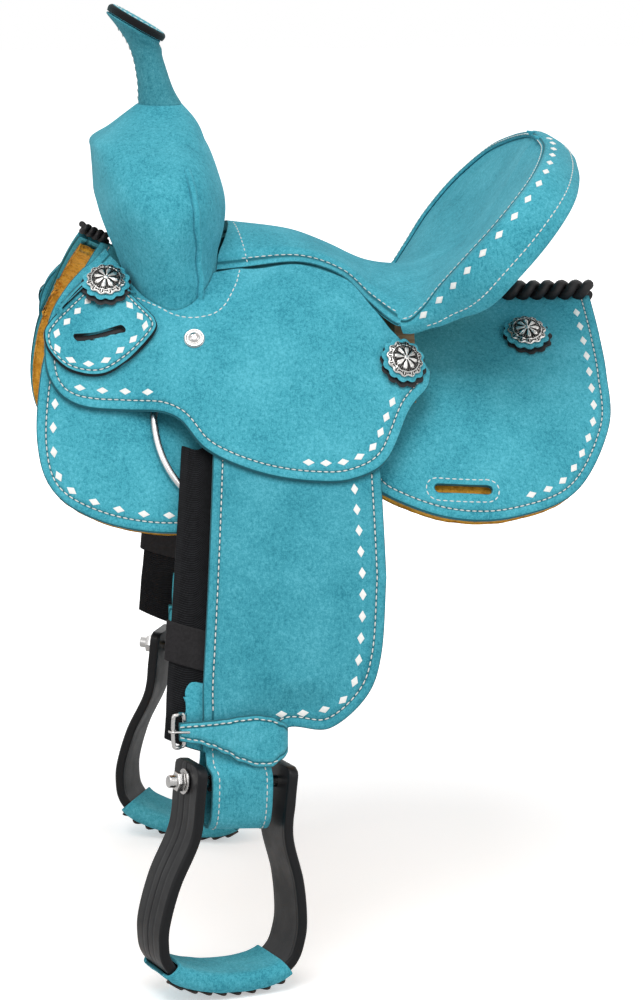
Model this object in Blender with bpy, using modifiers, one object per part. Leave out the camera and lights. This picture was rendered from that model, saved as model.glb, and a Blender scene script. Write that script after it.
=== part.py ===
"""Barrel racing saddle, youth size, with a 10 inch seat.

The front of the saddle points along -X and its left (near) side is -Y. The origin is
on the line of the horse's back, midway along the skirts, where the saddle is held up.
Numbers in the outlines are millimetres: x along the saddle, s down the side from the
spine, and y, z where a piece doesn't lie on the horse's back.
"""
import math

import bmesh
import bpy
from mathutils import Matrix, Vector

MM = 0.001
GAP = 0.3
LAYER_GAP = 0.8
SIDES = (("left", -1), ("right", 1))

# Horse's back, which every flat piece is laid on
SPINE_SLOPE = math.radians(28)
BARREL_RADIUS = 338.0
WITHER_RISE = 40.0
WITHER_REACH = 170.0
LOIN_DROP = 8.0
LOIN_REACH = 120.0
SHOULDER_START = -100.0
SHOULDER_NARROWING = 0.12
CROUP_START = 60.0
CROUP_NARROWING = 0.25
CROUP_REACH = 150.0

# Leather, fleece and webbing
FLEECE_THICK = 7.4
FLEECE_GAP = 2.4
SKIRT_THICK = 3.5
JOCKEY_THICK = 3.5
PLATE_THICK = 3.5
WEBBING_THICK = 2.5
KEEPER_THICK = 1.4
FENDER_THICK = 3.2
SEAT_THICK = 8.0
STRAP_THICK = 3.2
SLOT_LENGTH = 42.0
SLOT_WIDTH = 6.5

# Tree
BAR_THICK = 13.4
GROUND_SEAT_THICK = 3.0
CANTLE_THICK = 13.0
CANTLE_BACK_THICK = 3.0
COVER_THICK = 4.0
GULLET_HALF_WIDTH = 52.0
GULLET_TOP = 90.0
HORN_CORE_RADIUS = 8.0
HORN_CAP_GAP = 0.6
HORN_WRAP_THICK = 3.0
HORN_CAP_RADIUS = 23.5
HORN_CAP_THICK = 6.0
HORN_CAP_TILT = math.radians(30)

# Cantle roll
ROLL_WIDTH = 37.0
ROLL_BULGE = 12.0
ROLL_THICK = 6.0
ROLL_TIP = 0.3

# Hardware
DEE_WIDTH = 74.0
DEE_HEIGHT = 62.0
DEE_WIRE = 4.6
CONCHO_RADIUS = 14.2
CONCHO_HEIGHT = 4.6
ROSETTE_RADIUS = 17.5
ROSETTE_THICK = 3.0
SCALLOPS = 12
SCREW_RADIUS = 7.0
LACE_RADIUS = 4.5

# Stirrup
STIRRUP_TURN = math.radians(20)
STIRRUP_TILT = math.radians(6)
STIRRUP_DEPTH = 44.0
STIRRUP_WALL = 7.5
STIRRUP_NECK = 40.5
STIRRUP_BELLY = 56.5
STIRRUP_DROP = 145.0
STIRRUP_HEAD = 12.0
TREAD_REACH = 47.0
TREAD_COVER_THICK = 2.4
BOLT_RADIUS = 4.5
BOLT_CENTRE = (-78.0, -200.0, -307.0)
BOLT_CLEARANCE = 0.5
RIBBON_WIDTH = 46.0

# Heights between which the lower leathers turn, half way at the hobble strap
HALF_TURN = (-232.0, -260.0)
FULL_TURN = (-292.0, -301.0)
STILL_REACH = (-42.0, 5.0)

# Fender hinge line, where the leather bends under the edge of the jockey
HINGE_Y = 152.5
HINGE_Z = -110.0

# Lifts off the horse's back of each layer's outer face
SKIRT_LIFT = FLEECE_THICK + FLEECE_GAP + SKIRT_THICK
BAR_LIFT = SKIRT_LIFT + LAYER_GAP + BAR_THICK
DEE_LIFT = SKIRT_LIFT + LAYER_GAP + DEE_WIRE / 2
WEBBING_LIFT = SKIRT_LIFT + 2 * LAYER_GAP + DEE_WIRE + WEBBING_THICK
KEEPER_LIFT = WEBBING_LIFT + 0.5 + KEEPER_THICK
FENDER_LIFT = KEEPER_LIFT + 0.5 + FENDER_THICK
JOCKEY_EDGE_LIFT = FENDER_LIFT + LAYER_GAP + JOCKEY_THICK
JOCKEY_FRONT_LIFT = SKIRT_LIFT + LAYER_GAP + JOCKEY_THICK + 1.0

COLOURS = {
    "suede": ((0.072, 0.432, 0.497), 0.92, 0.0),
    "suede_dark": ((0.035, 0.240, 0.290), 0.95, 0.0),
    "fleece": ((0.723, 0.301, 0.033), 1.0, 0.0),
    "black_leather": ((0.012, 0.011, 0.012), 0.6, 0.0),
    "webbing": ((0.010, 0.010, 0.012), 0.85, 0.0),
    "black_plastic": ((0.013, 0.014, 0.016), 0.42, 0.0),
    "steel": ((0.62, 0.62, 0.60), 0.25, 1.0),
    "silver": ((0.55, 0.53, 0.50), 0.3, 1.0),
    "wood": ((0.45, 0.29, 0.15), 0.7, 0.0),
    "iron": ((0.18, 0.18, 0.18), 0.5, 1.0),
}


def clear_scene():
    """Remove everything from the open scene."""
    for thing in list(bpy.data.objects):
        bpy.data.objects.remove(thing, do_unlink=True)


def make_collection(name):
    """Add a collection to the scene and return it."""
    group = bpy.data.collections.new(name)
    bpy.context.scene.collection.children.link(group)
    return group


def make_material(name, finish):
    """Make a part's own plain Principled material."""
    colour, roughness, metallic = COLOURS[finish]
    material = bpy.data.materials.new(name)
    material.use_nodes = True
    shader = material.node_tree.nodes["Principled BSDF"]
    shader.inputs["Base Color"].default_value = (*colour, 1.0)
    shader.inputs["Roughness"].default_value = roughness
    shader.inputs["Metallic"].default_value = metallic
    material.diffuse_color = (*colour, 1.0)
    return material


def add_object(name, bm, finish):
    """Turn a bmesh in millimetres into a part in metres."""
    mesh = bpy.data.meshes.new(name)
    bm.to_mesh(mesh)
    bm.free()
    mesh.transform(Matrix.Scale(MM, 4))
    mesh.shade_smooth()
    mesh.set_sharp_from_angle(angle=math.radians(40))
    mesh.materials.append(make_material(name, finish))
    part = bpy.data.objects.new(name, mesh)
    PARTS.objects.link(part)
    return part


def as_cutter(thing):
    """Move an object to the cutters, where it shows as a wire."""
    for group in list(thing.users_collection):
        group.objects.unlink(thing)
    CUTTERS.objects.link(thing)
    thing.hide_render = True
    thing.display_type = "WIRE"
    return thing


def boolean(part, other, operation="DIFFERENCE"):
    """Add an exact Boolean modifier to a part."""
    modifier = part.modifiers.new(other.name, "BOOLEAN")
    modifier.operation = operation
    modifier.solver = "EXACT"
    modifier.object = other


def hang_on(empty, *parts):
    """Parent parts to an empty on their joint's axis and leave them where they are."""
    for part in parts:
        part.parent = empty
        part.matrix_parent_inverse = Matrix.Translation(empty.location).inverted()


def make_empty(name, x, y, z):
    """Add an empty that marks a joint's axis."""
    empty = bpy.data.objects.new(name, None)
    empty.location = Vector((x, y, z)) * MM
    empty.empty_display_size = 0.03
    PARTS.objects.link(empty)
    return empty


def ease(t):
    """Go from 0 to 1 with no slope at either end."""
    t = min(max(t, 0.0), 1.0)
    return t * t * (3 - 2 * t)


def between(x, table):
    """Read a smooth value at x from a short table of (x, value)."""
    if x <= table[0][0]:
        return table[0][1]
    for (x0, v0), (x1, v1) in zip(table, table[1:]):
        if x <= x1:
            return v0 + (v1 - v0) * ease((x - x0) / (x1 - x0))
    return table[-1][1]


def curve_points(controls, steps):
    """Pass a smooth curve through the controls, with steps points to each span."""
    points = [Vector(c) for c in controls]
    ends = [2 * points[0] - points[1]] + points + [2 * points[-1] - points[-2]]
    result = []
    for a, b, c, d in zip(ends, ends[1:], ends[2:], ends[3:]):
        for step in range(steps):
            t = step / steps
            result.append(0.5 * (2 * b + (c - a) * t + (2 * a - 5 * b + 4 * c - d) * t * t
                                 + (3 * b - a - 3 * c + d) * t ** 3))
    result.append(points[-1])
    return result


def spine_height(x):
    """Height of the horse's spine, which rises to the withers in front."""
    if x < 0:
        return WITHER_RISE * (x / WITHER_REACH) ** 2
    return -LOIN_DROP * ease(x / LOIN_REACH)


def back_width(x):
    """Share of the full width that the back has at x."""
    if x > CROUP_START:
        return 1 - CROUP_NARROWING * ((x - CROUP_START) / CROUP_REACH) ** 2
    if x < SHOULDER_START:
        return 1 - SHOULDER_NARROWING * ((x - SHOULDER_START) / LOIN_REACH) ** 2
    return 1.0


def on_back(x, s, lift, side=-1):
    """Point at x, s down from the spine and lift off the horse's back.

    The side of the back is an arc until it's upright. Below that it goes straight down.
    """
    angle = SPINE_SLOPE + s / BARREL_RADIUS
    below = max(angle - math.pi / 2, 0.0) * BARREL_RADIUS
    angle = min(angle, math.pi / 2)
    reach = BARREL_RADIUS + lift
    y = (reach * math.sin(angle) - BARREL_RADIUS * math.sin(SPINE_SLOPE)) * back_width(x)
    z = spine_height(x) - BARREL_RADIUS * math.cos(SPINE_SLOPE) + reach * math.cos(angle) - below
    return Vector((x, side * y, z))


def off_back(x, y, z):
    """Return the s and the lift of a point, the other way round from on_back."""
    across = abs(y) / back_width(x) + BARREL_RADIUS * math.sin(SPINE_SLOPE)
    up = z - spine_height(x) + BARREL_RADIUS * math.cos(SPINE_SLOPE)
    angle = math.atan2(across, up)
    return (angle - SPINE_SLOPE) * BARREL_RADIUS, math.hypot(across, up) - BARREL_RADIUS


def jockey_lift(x, s):
    """Lift of the jockey's outer face, high over the bars and low at its edge."""
    edge = between(x, ((-150, JOCKEY_FRONT_LIFT), (-105, JOCKEY_EDGE_LIFT)))
    ridge = between(x, ((-175, 22), (-150, 32), (-120, 46), (-90, 54), (-60, 59), (-21, 67),
                        (11, 65), (31, 60), (44, 56), (54, 50), (72, 40)))
    return edge + (ridge - edge) * (1 - ease((s - 40) / 135))


def surface_frame(x, s, lift, side, depth=0.0, turn=0.0, reach=1.0):
    """Frame on a lifted face: Z points out of it and X runs along the saddle.

    A flat piece of radius reach that lies on the frame clears the face by depth.
    """
    def point(a, b):
        return on_back(a, b, lift(a, b), side)
    along = (point(x + reach, s) - point(x - reach, s)).normalized()
    down = (point(x, s + reach) - point(x, s - reach)).normalized()
    normal = along.cross(down).normalized()
    if normal.y * side < 0:
        normal = -normal
    frame = Matrix((along, normal.cross(along), normal)).transposed().to_4x4()
    centre = point(x, s)
    high = 0.0
    for index in range(12 if reach > 1 else 0):
        angle = 2 * math.pi * index / 12
        for share in (0.6, 1.0):
            rim = point(x + share * reach * math.cos(angle), s + share * reach * math.sin(angle))
            high = max(high, (rim - centre).dot(normal))
    frame.translation = centre + normal * (high + depth)
    return frame @ Matrix.Rotation(turn, 4, "Z")


def grid_mesh(rows, outward):
    """Join rows of points into an open sheet whose faces look outward."""
    bm = bmesh.new()
    verts = [[bm.verts.new(p) for p in row] for row in rows]
    for near, far in zip(verts, verts[1:]):
        for a, b, c, d in zip(near, near[1:], far[1:], far):
            bm.faces.new((a, b, c, d))
    bmesh.ops.remove_doubles(bm, verts=bm.verts, dist=0.01)
    bm.normal_update()
    total = sum((face.normal * face.calc_area() for face in bm.faces), Vector())
    if total.dot(Vector(outward)) < 0:
        bmesh.ops.reverse_faces(bm, faces=bm.faces)
    return bm


def sink(bm, depth):
    """Move an open sheet back along its own normals."""
    bm.normal_update()
    moves = [(vert, vert.normal.copy()) for vert in bm.verts]
    for vert, normal in moves:
        vert.co -= normal * depth


def thicken(part, thickness, offset=-1.0):
    """Give an open sheet its thickness, behind its outer face."""
    modifier = part.modifiers.new("thickness", "SOLIDIFY")
    modifier.thickness = thickness * MM
    modifier.offset = offset
    return part


def loft(rings):
    """Skin a row of rings of points and close both ends."""
    bm = bmesh.new()
    loops = [[bm.verts.new(p) for p in ring] for ring in rings]
    for near, far in zip(loops, loops[1:]):
        for index in range(len(near)):
            after = (index + 1) % len(near)
            bm.faces.new((near[index], near[after], far[after], far[index]))
    bm.faces.new(loops[0])
    bm.faces.new(loops[-1])
    bmesh.ops.remove_doubles(bm, verts=bm.verts, dist=0.01)
    bmesh.ops.recalc_face_normals(bm, faces=bm.faces)
    return bm


def s_at(x, z, lift):
    """How far down the side a lifted face is at the height z."""
    share = (z - spine_height(x) + BARREL_RADIUS * math.cos(SPINE_SLOPE)) / (BARREL_RADIUS + lift)
    return (math.acos(share) - SPINE_SLOPE) * BARREL_RADIUS


def turn_share(x, z):
    """Share of the stirrup's turn that the leathers have at x, z."""
    upper = ease((HALF_TURN[0] - z) / (HALF_TURN[0] - HALF_TURN[1]))
    lower = ease((FULL_TURN[0] - z) / (FULL_TURN[0] - FULL_TURN[1]))
    still = ease((x - STILL_REACH[0]) / (STILL_REACH[1] - STILL_REACH[0]))
    return 0.5 * (upper + lower) * (1 - still)


def turned(point, side, share=None):
    """Turn a point of the lower leathers about the upright line through the bolt."""
    if share is None:
        share = turn_share(point.x, point.z)
    x, y = BOLT_CENTRE[:2]
    dx, dy = point.x - x, -abs(point.y) - y
    c, s = math.cos(STIRRUP_TURN * share), math.sin(STIRRUP_TURN * share)
    drop = dx * math.tan(STIRRUP_TILT) * share
    return Vector((x + dx * c - dy * s, -side * (y + dx * s + dy * c), point.z - drop))


def panel(name, side, pairs, lift, thickness, finish, steps=2, rows=6, turning=False):
    """Lay a sheet on the back between an upper and a lower edge.

    pairs holds (x, s) of the upper edge and (x, s) of the lower edge. lift is a number
    or a function of x and s, and gives the outer face.
    """
    edges = curve_points([(*upper, *lower) for upper, lower in pairs], steps)
    grid = []
    for xu, su, xl, sl in edges:
        row = []
        for index in range(rows + 1):
            t = index / rows
            x = xu + (xl - xu) * t
            s = su + (sl - su) * t
            height = lift(x, s) if callable(lift) else lift
            point = on_back(x, s, height, side)
            row.append(turned(point, side) if turning else point)
        grid.append(row)
    part = add_object(name, grid_mesh(grid, (0, side, 0.6)), finish)
    return thicken(part, thickness)


def slot_cutter(name, frame, length, width, depth):
    """A bar with round ends that cuts a strap slot."""
    bm = bmesh.new()
    size = Matrix.Diagonal((length, width, depth, 1))
    bmesh.ops.create_cube(bm, size=1, matrix=size)
    corners = [e for e in bm.edges if abs((e.verts[0].co - e.verts[1].co).normalized().z) > 0.9]
    bmesh.ops.bevel(bm, geom=corners, offset=width * 0.49, segments=3, affect="EDGES",
                    profile=0.5)
    bmesh.ops.transform(bm, matrix=frame, verts=bm.verts)
    return as_cutter(add_object(name, bm, "black_leather"))


def curve_part(name, splines, radius, finish, resolution=2, caps=True):
    """A wire along polylines of points, made a mesh with welded caps."""
    curve = bpy.data.curves.new(name, "CURVE")
    curve.dimensions = "3D"
    curve.bevel_depth = radius * MM
    curve.bevel_resolution = resolution
    curve.use_fill_caps = caps
    for points, cyclic in splines:
        spline = curve.splines.new("POLY")
        spline.points.add(len(points) - 1)
        for knot, point in zip(spline.points, points):
            knot.co = (*(Vector(point) * MM), 1.0)
        spline.use_cyclic_u = cyclic
    wire = bpy.data.objects.new(name, curve)
    PARTS.objects.link(wire)
    mesh = bpy.data.meshes.new_from_object(
        wire.evaluated_get(bpy.context.evaluated_depsgraph_get()))
    matrix = wire.matrix_world.copy()
    bpy.data.objects.remove(wire)
    bm = bmesh.new()
    bm.from_mesh(mesh)
    bmesh.ops.remove_doubles(bm, verts=bm.verts, dist=0.00001)
    bmesh.ops.recalc_face_normals(bm, faces=bm.faces)
    bm.to_mesh(mesh)
    bm.free()
    mesh.name = name
    mesh.shade_smooth()
    mesh.set_sharp_from_angle(angle=math.radians(40))
    mesh.materials.clear()
    mesh.materials.append(make_material(name, finish))
    part = bpy.data.objects.new(name, mesh)
    part.matrix_world = matrix
    PARTS.objects.link(part)
    return part


# Skirts and fleece

SKIRT_EDGES = (
    ((-181, -4), (-199, 84)), ((-178, -4), (-211, 150)), ((-172, -4), (-213, 203)),
    ((-164, -4), (-203, 232)), ((-148, -4), (-170, 236)), ((-112, -4), (-112, 222)),
    ((-74, -4), (-72, 200)), ((-36, -4), (-34, 165)), ((8, -4), (12, 160)),
    ((34, -4), (34, 179)), ((78, -4), (78, 192)), ((126, -4), (130, 191)),
    ((160, -4), (175, 175)), ((182, -4), (202, 128)), ((194, -4), (204, 81)),
    ((199, -4), (202, 40)),
)
REAR_SLOT = (90, 171)
FLEECE_PROUD = 2.0
FLEECE_INSET = 0.993


def make_skirt(word, side):
    """The skirt, its fleece lining and the rear strap slot."""
    skirt = panel(f"{word}_skirt", side, SKIRT_EDGES, SKIRT_LIFT, SKIRT_THICK, "suede",
                  rows=4)
    frame = surface_frame(*REAR_SLOT, lambda x, s: SKIRT_LIFT, side, -SKIRT_THICK / 2)
    slot = slot_cutter(f"cut_{word}_rear_slot", frame, SLOT_LENGTH, SLOT_WIDTH,
                       2 * SKIRT_THICK)
    boolean(skirt, slot)
    lining = [((xu * FLEECE_INSET, 3), (xl * FLEECE_INSET, sl + (FLEECE_PROUD if 0 < xl < 190 else -1)))
              for (xu, _), (xl, sl) in SKIRT_EDGES]
    panel(f"{word}_fleece", side, lining, FLEECE_THICK, FLEECE_THICK, "fleece",
          rows=4)


def make_lacing(name, x0, x1):
    """The lace that joins the two skirts over the spine, as one twisted cord."""
    top = on_back(0, -4, SKIRT_LIFT)
    seat = math.sqrt(LACE_RADIUS ** 2 - top.y ** 2) + LAYER_GAP
    turns = []
    count = max(int((x1 - x0) / 6), 4)
    for index in range(count + 1):
        x = x0 + (x1 - x0) * index / count
        ridge = on_back(x, -4, SKIRT_LIFT).z
        turns.append((x, 0.0, ridge + seat))
    return curve_part(name, [(turns, False)], LACE_RADIUS, "black_leather", resolution=1)


# Jockeys and front plates

JOCKEY_EDGES = (
    ((-160, 21), (-177, 46)), ((-156, 30), (-190, 73)), ((-150, 36), (-201, 102)),
    ((-145, 40), (-206, 132)), ((-140, 42), (-202, 155)), ((-132, 42), (-184, 162)),
    ((-118, 42), (-140, 147)), ((-104, 42), (-114, 148)), ((-90, 40), (-94, 165)),
    ((-64, 34), (-58, 174)), ((-21, 32.5), (-18, 177)), ((11, 43), (10, 175)),
    ((32, 64), (34, 161)), ((44, 76), (52, 126)), ((53, 81), (66, 108)), ((62, 85), (70, 95)),
)
PLATE_EDGES = (
    ((-172, 61), (-206, 122)), ((-170, 54), (-202, 138)), ((-165, 50), (-186, 141)),
    ((-159, 49), (-163, 131)), ((-154, 52), (-137, 104)), ((-149, 58), (-125, 88)),
)
PLATE_SLOT = (-167, 104)
PLATE_SLOT_TURN = math.radians(31)
SCREW_PLACE = (-100, 92)


def plate_lift(x, s):
    """Lift of the front plate's outer face, which lies on the jockey."""
    return jockey_lift(x, s) + 1.5 + PLATE_THICK


def make_jockey(word, side, fork_block):
    """The seat jockey, which is cut out round the fork, and its screw."""
    jockey = panel(f"{word}_jockey", side, JOCKEY_EDGES, jockey_lift, JOCKEY_THICK,
                   "suede", rows=5)
    boolean(jockey, fork_block)
    frame = surface_frame(*SCREW_PLACE, jockey_lift, side, GAP)
    bm = bmesh.new()
    for radius, height, base in ((SCREW_RADIUS, 1.6, 0.0), (SCREW_RADIUS * 0.62, 2.2, 1.0)):
        bmesh.ops.create_cone(bm, cap_ends=True, segments=14, radius1=radius,
                              radius2=radius * 0.88, depth=height,
                              matrix=frame @ Matrix.Translation((0, 0, base + height / 2)))
    solid = add_object(f"{word}_jockey_screw", bm, "steel")
    join_shells(solid)


def make_plate(word, side):
    """The fan-shaped leather plate on the front of the jockey, with its strap slot."""
    plate = panel(f"{word}_front_plate", side, PLATE_EDGES, plate_lift, PLATE_THICK,
                  "suede", steps=2, rows=4)
    turn = PLATE_SLOT_TURN * -side
    frame = surface_frame(*PLATE_SLOT, plate_lift, side, -PLATE_THICK / 2, turn)
    slot = slot_cutter(f"cut_{word}_plate_slot", frame, SLOT_LENGTH, SLOT_WIDTH * 0.7,
                       1.6 * PLATE_THICK)
    boolean(plate, slot)


def join_shells(part):
    """Unite the overlapping shells of one object into a single body."""
    modifier = part.modifiers.new("unite", "BOOLEAN")
    modifier.operation = "UNION"
    modifier.solver = "EXACT"
    modifier.use_self = True
    modifier.operand_type = "COLLECTION"
    modifier.collection = EMPTY_GROUP


# Conchos and rosettes

CONCHO_PLACES = (
    ("front", (-162, 57), plate_lift),
    ("jockey", (48, 95), jockey_lift),
    ("rear", (147, 40), lambda x, s: SKIRT_LIFT),
)


def scalloped_ring(radius, depth, height, count):
    """A ring of points whose radius swells once in each scallop."""
    ring = []
    for index in range(count):
        angle = 2 * math.pi * index / count
        r = radius * (1 - depth * (0.5 - 0.5 * math.cos(SCALLOPS * angle)))
        ring.append(Vector((r * math.cos(angle), r * math.sin(angle), height)))
    return ring


def make_concho(word, side, place, spot, lift):
    """A scalloped leather rosette and the domed metal concho on it."""
    count = SCALLOPS * 2
    frame = surface_frame(*spot, lift, side, 1.0, reach=ROSETTE_RADIUS)
    rings = [scalloped_ring(ROSETTE_RADIUS, 0.09, z, count) for z in (0.0, ROSETTE_THICK)]
    bm = loft(rings)
    bmesh.ops.transform(bm, matrix=frame, verts=bm.verts)
    bmesh.ops.recalc_face_normals(bm, faces=bm.faces)
    add_object(f"{word}_{place}_rosette", bm, "suede")
    base = ROSETTE_THICK + GAP
    profile = ((1.0, 0.06, 0.0), (1.0, 0.06, 1.2), (0.7, 0.0, 0.68 * CONCHO_HEIGHT),
               (0.3, 0.0, CONCHO_HEIGHT))
    rings = [scalloped_ring(CONCHO_RADIUS * share, depth, base + height, count)
             for share, depth, height in profile]
    bm = loft(rings)
    bmesh.ops.transform(bm, matrix=frame, verts=bm.verts)
    bmesh.ops.recalc_face_normals(bm, faces=bm.faces)
    add_object(f"{word}_{place}_concho", bm, "silver")


# Fork, horn and their covers

FORK_SECTIONS = (
    (-34, -142, -84, 88, 2.4), (0, -146, -80, 90, 2.4), (25, -153, -74, 95, 2.1),
    (45, -162, -71, 101, 1.55), (65, -165, -70, 105, 1.9), (85, -167, -72, 104, 2.3),
    (103, -168, -77, 92, 2.5), (117, -169, -82, 74, 2.6), (125, -169, -86, 60, 2.6),
    (133, -157, -89, 46, 2.5), (141, -147, -94, 31, 2.3), (150, -135.5, -102, 17, 2.0),
)


def fork_rings(shrink):
    """Level rings of the fork, moved in by shrink all round."""
    rings = []
    for z, front, rear, half, roundness in FORK_SECTIONS:
        centre = (front + rear) / 2
        long = (rear - front) / 2 - shrink
        wide = half - shrink
        ring = []
        for index in range(22):
            angle = 2 * math.pi * (index + 0.5) / 22
            c, s = math.cos(angle), math.sin(angle)
            power = 2 / roundness
            ring.append(Vector((centre + long * math.copysign(abs(c) ** power, c),
                                wide * math.copysign(abs(s) ** power, s), z)))
        rings.append(ring)
    top = max(shrink, 0) * 0.8
    rings[-1] = [Vector((p.x, p.y, p.z - top)) for p in rings[-1]]
    if shrink < 0:
        rings.append([Vector((p.x, p.y, p.z - shrink)) for p in rings[-1]])
    return rings


def back_block(name, lift, x0, x1):
    """A block that fills the horse's back up to a lift, as a cutter."""
    rings = []
    for index in range(9):
        x = x0 + (x1 - x0) * index / 8
        across = [on_back(x, s, lift, 1) for s in (200, 160, 130, 100, 75, 50, 25, 0, -20)]
        across = [p for p in across if p.y > 0.5]
        crown = Vector((x, 0.0, across[-1].z + 2.0))
        half = [Vector((p.x, -p.y, p.z)) for p in reversed(across)]
        ring = across + [crown] + half
        foot = -260.0
        ring = ring + [Vector((x, ring[-1].y, foot)), Vector((x, ring[0].y, foot))]
        rings.append(ring)
    shortest = min(len(ring) for ring in rings)
    rings = [ring for ring in rings if len(ring) == shortest]
    return as_cutter(add_object(name, loft(rings), "wood"))


def make_fork():
    """The wooden fork and the leather cover drawn over it, with the gullet cut through."""
    cover = add_object("fork_cover", loft(fork_rings(0.0)), "suede")
    hollow = as_cutter(add_object("cut_fork_hollow", loft(fork_rings(COVER_THICK)), "wood"))
    wood = add_object("tree_fork", loft(fork_rings(COVER_THICK + LAYER_GAP + GAP)), "wood")
    gullet = bmesh.new()
    turn = Matrix.Rotation(math.pi / 2, 4, "Y")
    middle = 30.0
    shape = Matrix.Translation((-120, 0, middle)) @ Matrix.Diagonal(
        (1, GULLET_HALF_WIDTH, GULLET_TOP - middle, 1)) @ turn
    bmesh.ops.create_cone(gullet, cap_ends=True, segments=32, radius1=1, radius2=1,
                          depth=140, matrix=shape)
    bmesh.ops.recalc_face_normals(gullet, faces=gullet.faces)
    arch = as_cutter(add_object("cut_gullet", gullet, "wood"))
    bed = back_block("cut_bar_bed", BAR_LIFT + 1.3, -203, -37)
    for part in (cover, wood):
        boolean(part, bed)
        boolean(part, arch)
    boolean(cover, hollow)
    return as_cutter(add_object("cut_round_fork", loft(fork_rings(-0.5)), "wood"))


HORN_SECTIONS = (
    (-118.5, 151.6, 15.5, 15.0, 0), (-120.5, 160.0, 13.8, 13.4, 8),
    (-122.5, 168.0, 12.8, 12.6, 12), (-125.5, 180.0, 12.4, 12.4, 16),
    (-128.7, 190.0, 13.2, 13.2, 22), (-132.4, 198.5, 16.5, 16.5, 27),
    (-137.3, 204.8, 21.9, 21.9, 30), (-136.5, 206.2, 22.0, 22.0, 30),
)


def tilted_ring(x, z, along, across, tilt, count=16):
    """A ring round the horn's axis, with its plane tilted up in front."""
    lean = math.radians(tilt)
    ring = []
    for index in range(count):
        angle = 2 * math.pi * index / count
        reach = along * math.cos(angle)
        ring.append(Vector((x + reach * math.cos(lean), across * math.sin(angle),
                            z - reach * math.sin(lean))))
    return ring


def make_horn():
    """The horn's steel core, the leather wrapped round it and the stitched cap."""
    rings = [tilted_ring(*section) for section in HORN_SECTIONS]
    bm = loft(rings)
    caps = [face for face in bm.faces if len(face.verts) > 4]
    bmesh.ops.delete(bm, geom=caps, context="FACES_ONLY")
    thicken(add_object("horn_wrap", bm, "suede"), HORN_WRAP_THICK)
    core = [tilted_ring(x, z, HORN_CORE_RADIUS, HORN_CORE_RADIUS, tilt, 12)
            for x, z, _, _, tilt in HORN_SECTIONS[:6]]
    add_object("horn_core", loft(core), "iron")
    x, z = HORN_SECTIONS[-1][:2]
    frame = (Matrix.Translation((x, 0, z)) @ Matrix.Rotation(HORN_CAP_TILT, 4, "Y")
             @ Matrix.Translation((0, 0, HORN_CAP_GAP)))
    bm = bmesh.new()
    bmesh.ops.create_cone(bm, cap_ends=True, segments=24, radius1=HORN_CAP_RADIUS,
                          radius2=HORN_CAP_RADIUS, depth=HORN_CAP_THICK,
                          matrix=frame @ Matrix.Translation((0, 0, HORN_CAP_THICK / 2)))
    cap = add_object("horn_cap", bm, "suede")
    bevel = cap.modifiers.new("rounded edge", "BEVEL")
    bevel.width = 1.8 * MM
    bevel.segments = 2
    bevel.limit_method = "ANGLE"


# Seat, ground seat and cantle

SEAT_EDGES = (
    ((-92, -60, 38), (-92, 0, 68)), ((-65, -60, 41), (-65, 0, 64)),
    ((-21, -62, 46), (-21, 0, 55.5)), ((11, -70, 37), (11, 0, 41.5)),
    ((31, -85, 18), (36, 0, 32)), ((49, -103, 5), (60, 0, 29)),
    ((62, -109, 13), (76, 0, 30)), ((75, -115, 30), (88, 0, 35)),
    ((92, -129, 52), (100, 0, 43)), ((113, -133, 76), (114, 0, 56)),
    ((135, -116, 99), (130, 0, 78)), ((148, -85, 111), (142, 0, 98)),
    ((156, -48, 120), (151, 0, 115)), ((158, -16, 126), (157, 0, 126)),
)
RIM_START = 5
DISH_START = 6


def seat_rows(first, last, near, far, count, steps=2):
    """Rows of points of the seat's left half, over a stretch of it.

    first and last count the pairs of SEAT_EDGES, near and far go from 0 at the edge to
    1 on the middle line.
    """
    lines = curve_points([(*edge, *middle) for edge, middle in SEAT_EDGES], steps)
    rows = []
    for line in lines[first * steps:last * steps + 1]:
        edge, middle = Vector(line[:3]), Vector(line[3:])
        row = []
        for index in range(count + 1):
            t = near + (far - near) * index / count
            point = edge.lerp(middle, t)
            point.z = middle.z + (edge.z - middle.z) * (1 - t) ** 2
            row.append(point)
        rows.append(row)
    return rows


def seat_sheet(name, rows, depth, thickness, finish):
    """A sheet under the seat's surface, mirrored over the middle line."""
    both = [row + [Vector((p.x, -p.y, p.z)) for p in reversed(row[:-1])]
            if abs(row[-1].y) < 0.01 else row for row in rows]
    bm = grid_mesh(both, (0, 0, 1))
    sink(bm, depth)
    return thicken(add_object(name, bm, finish), thickness)


def make_seat(fork_block):
    """The padded seat leather, the ground seat, the cantle and its back cover."""
    last = len(SEAT_EDGES) - 1
    seat = seat_sheet("seat", seat_rows(0, last, 0, 1, 6), 0.0, SEAT_THICK, "suede")
    boolean(seat, fork_block)
    depth = SEAT_THICK + GAP + 0.2
    ground = seat_sheet("ground_seat", seat_rows(0, RIM_START, 0.16, 1, 4, steps=1),
                        depth + 1.8, GROUND_SEAT_THICK, "suede_dark")
    boolean(ground, fork_block)
    seat_sheet("tree_cantle", seat_rows(DISH_START, last - 1, 0.14, 1, 4, steps=1),
               depth + 0.6, CANTLE_THICK, "wood")
    depth += CANTLE_THICK + 1.6
    rows = seat_rows(DISH_START + 2, last - 1, 0.09, 1, 4, steps=1)
    seat_sheet("cantle_back", rows, depth, CANTLE_BACK_THICK, "suede")


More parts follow.
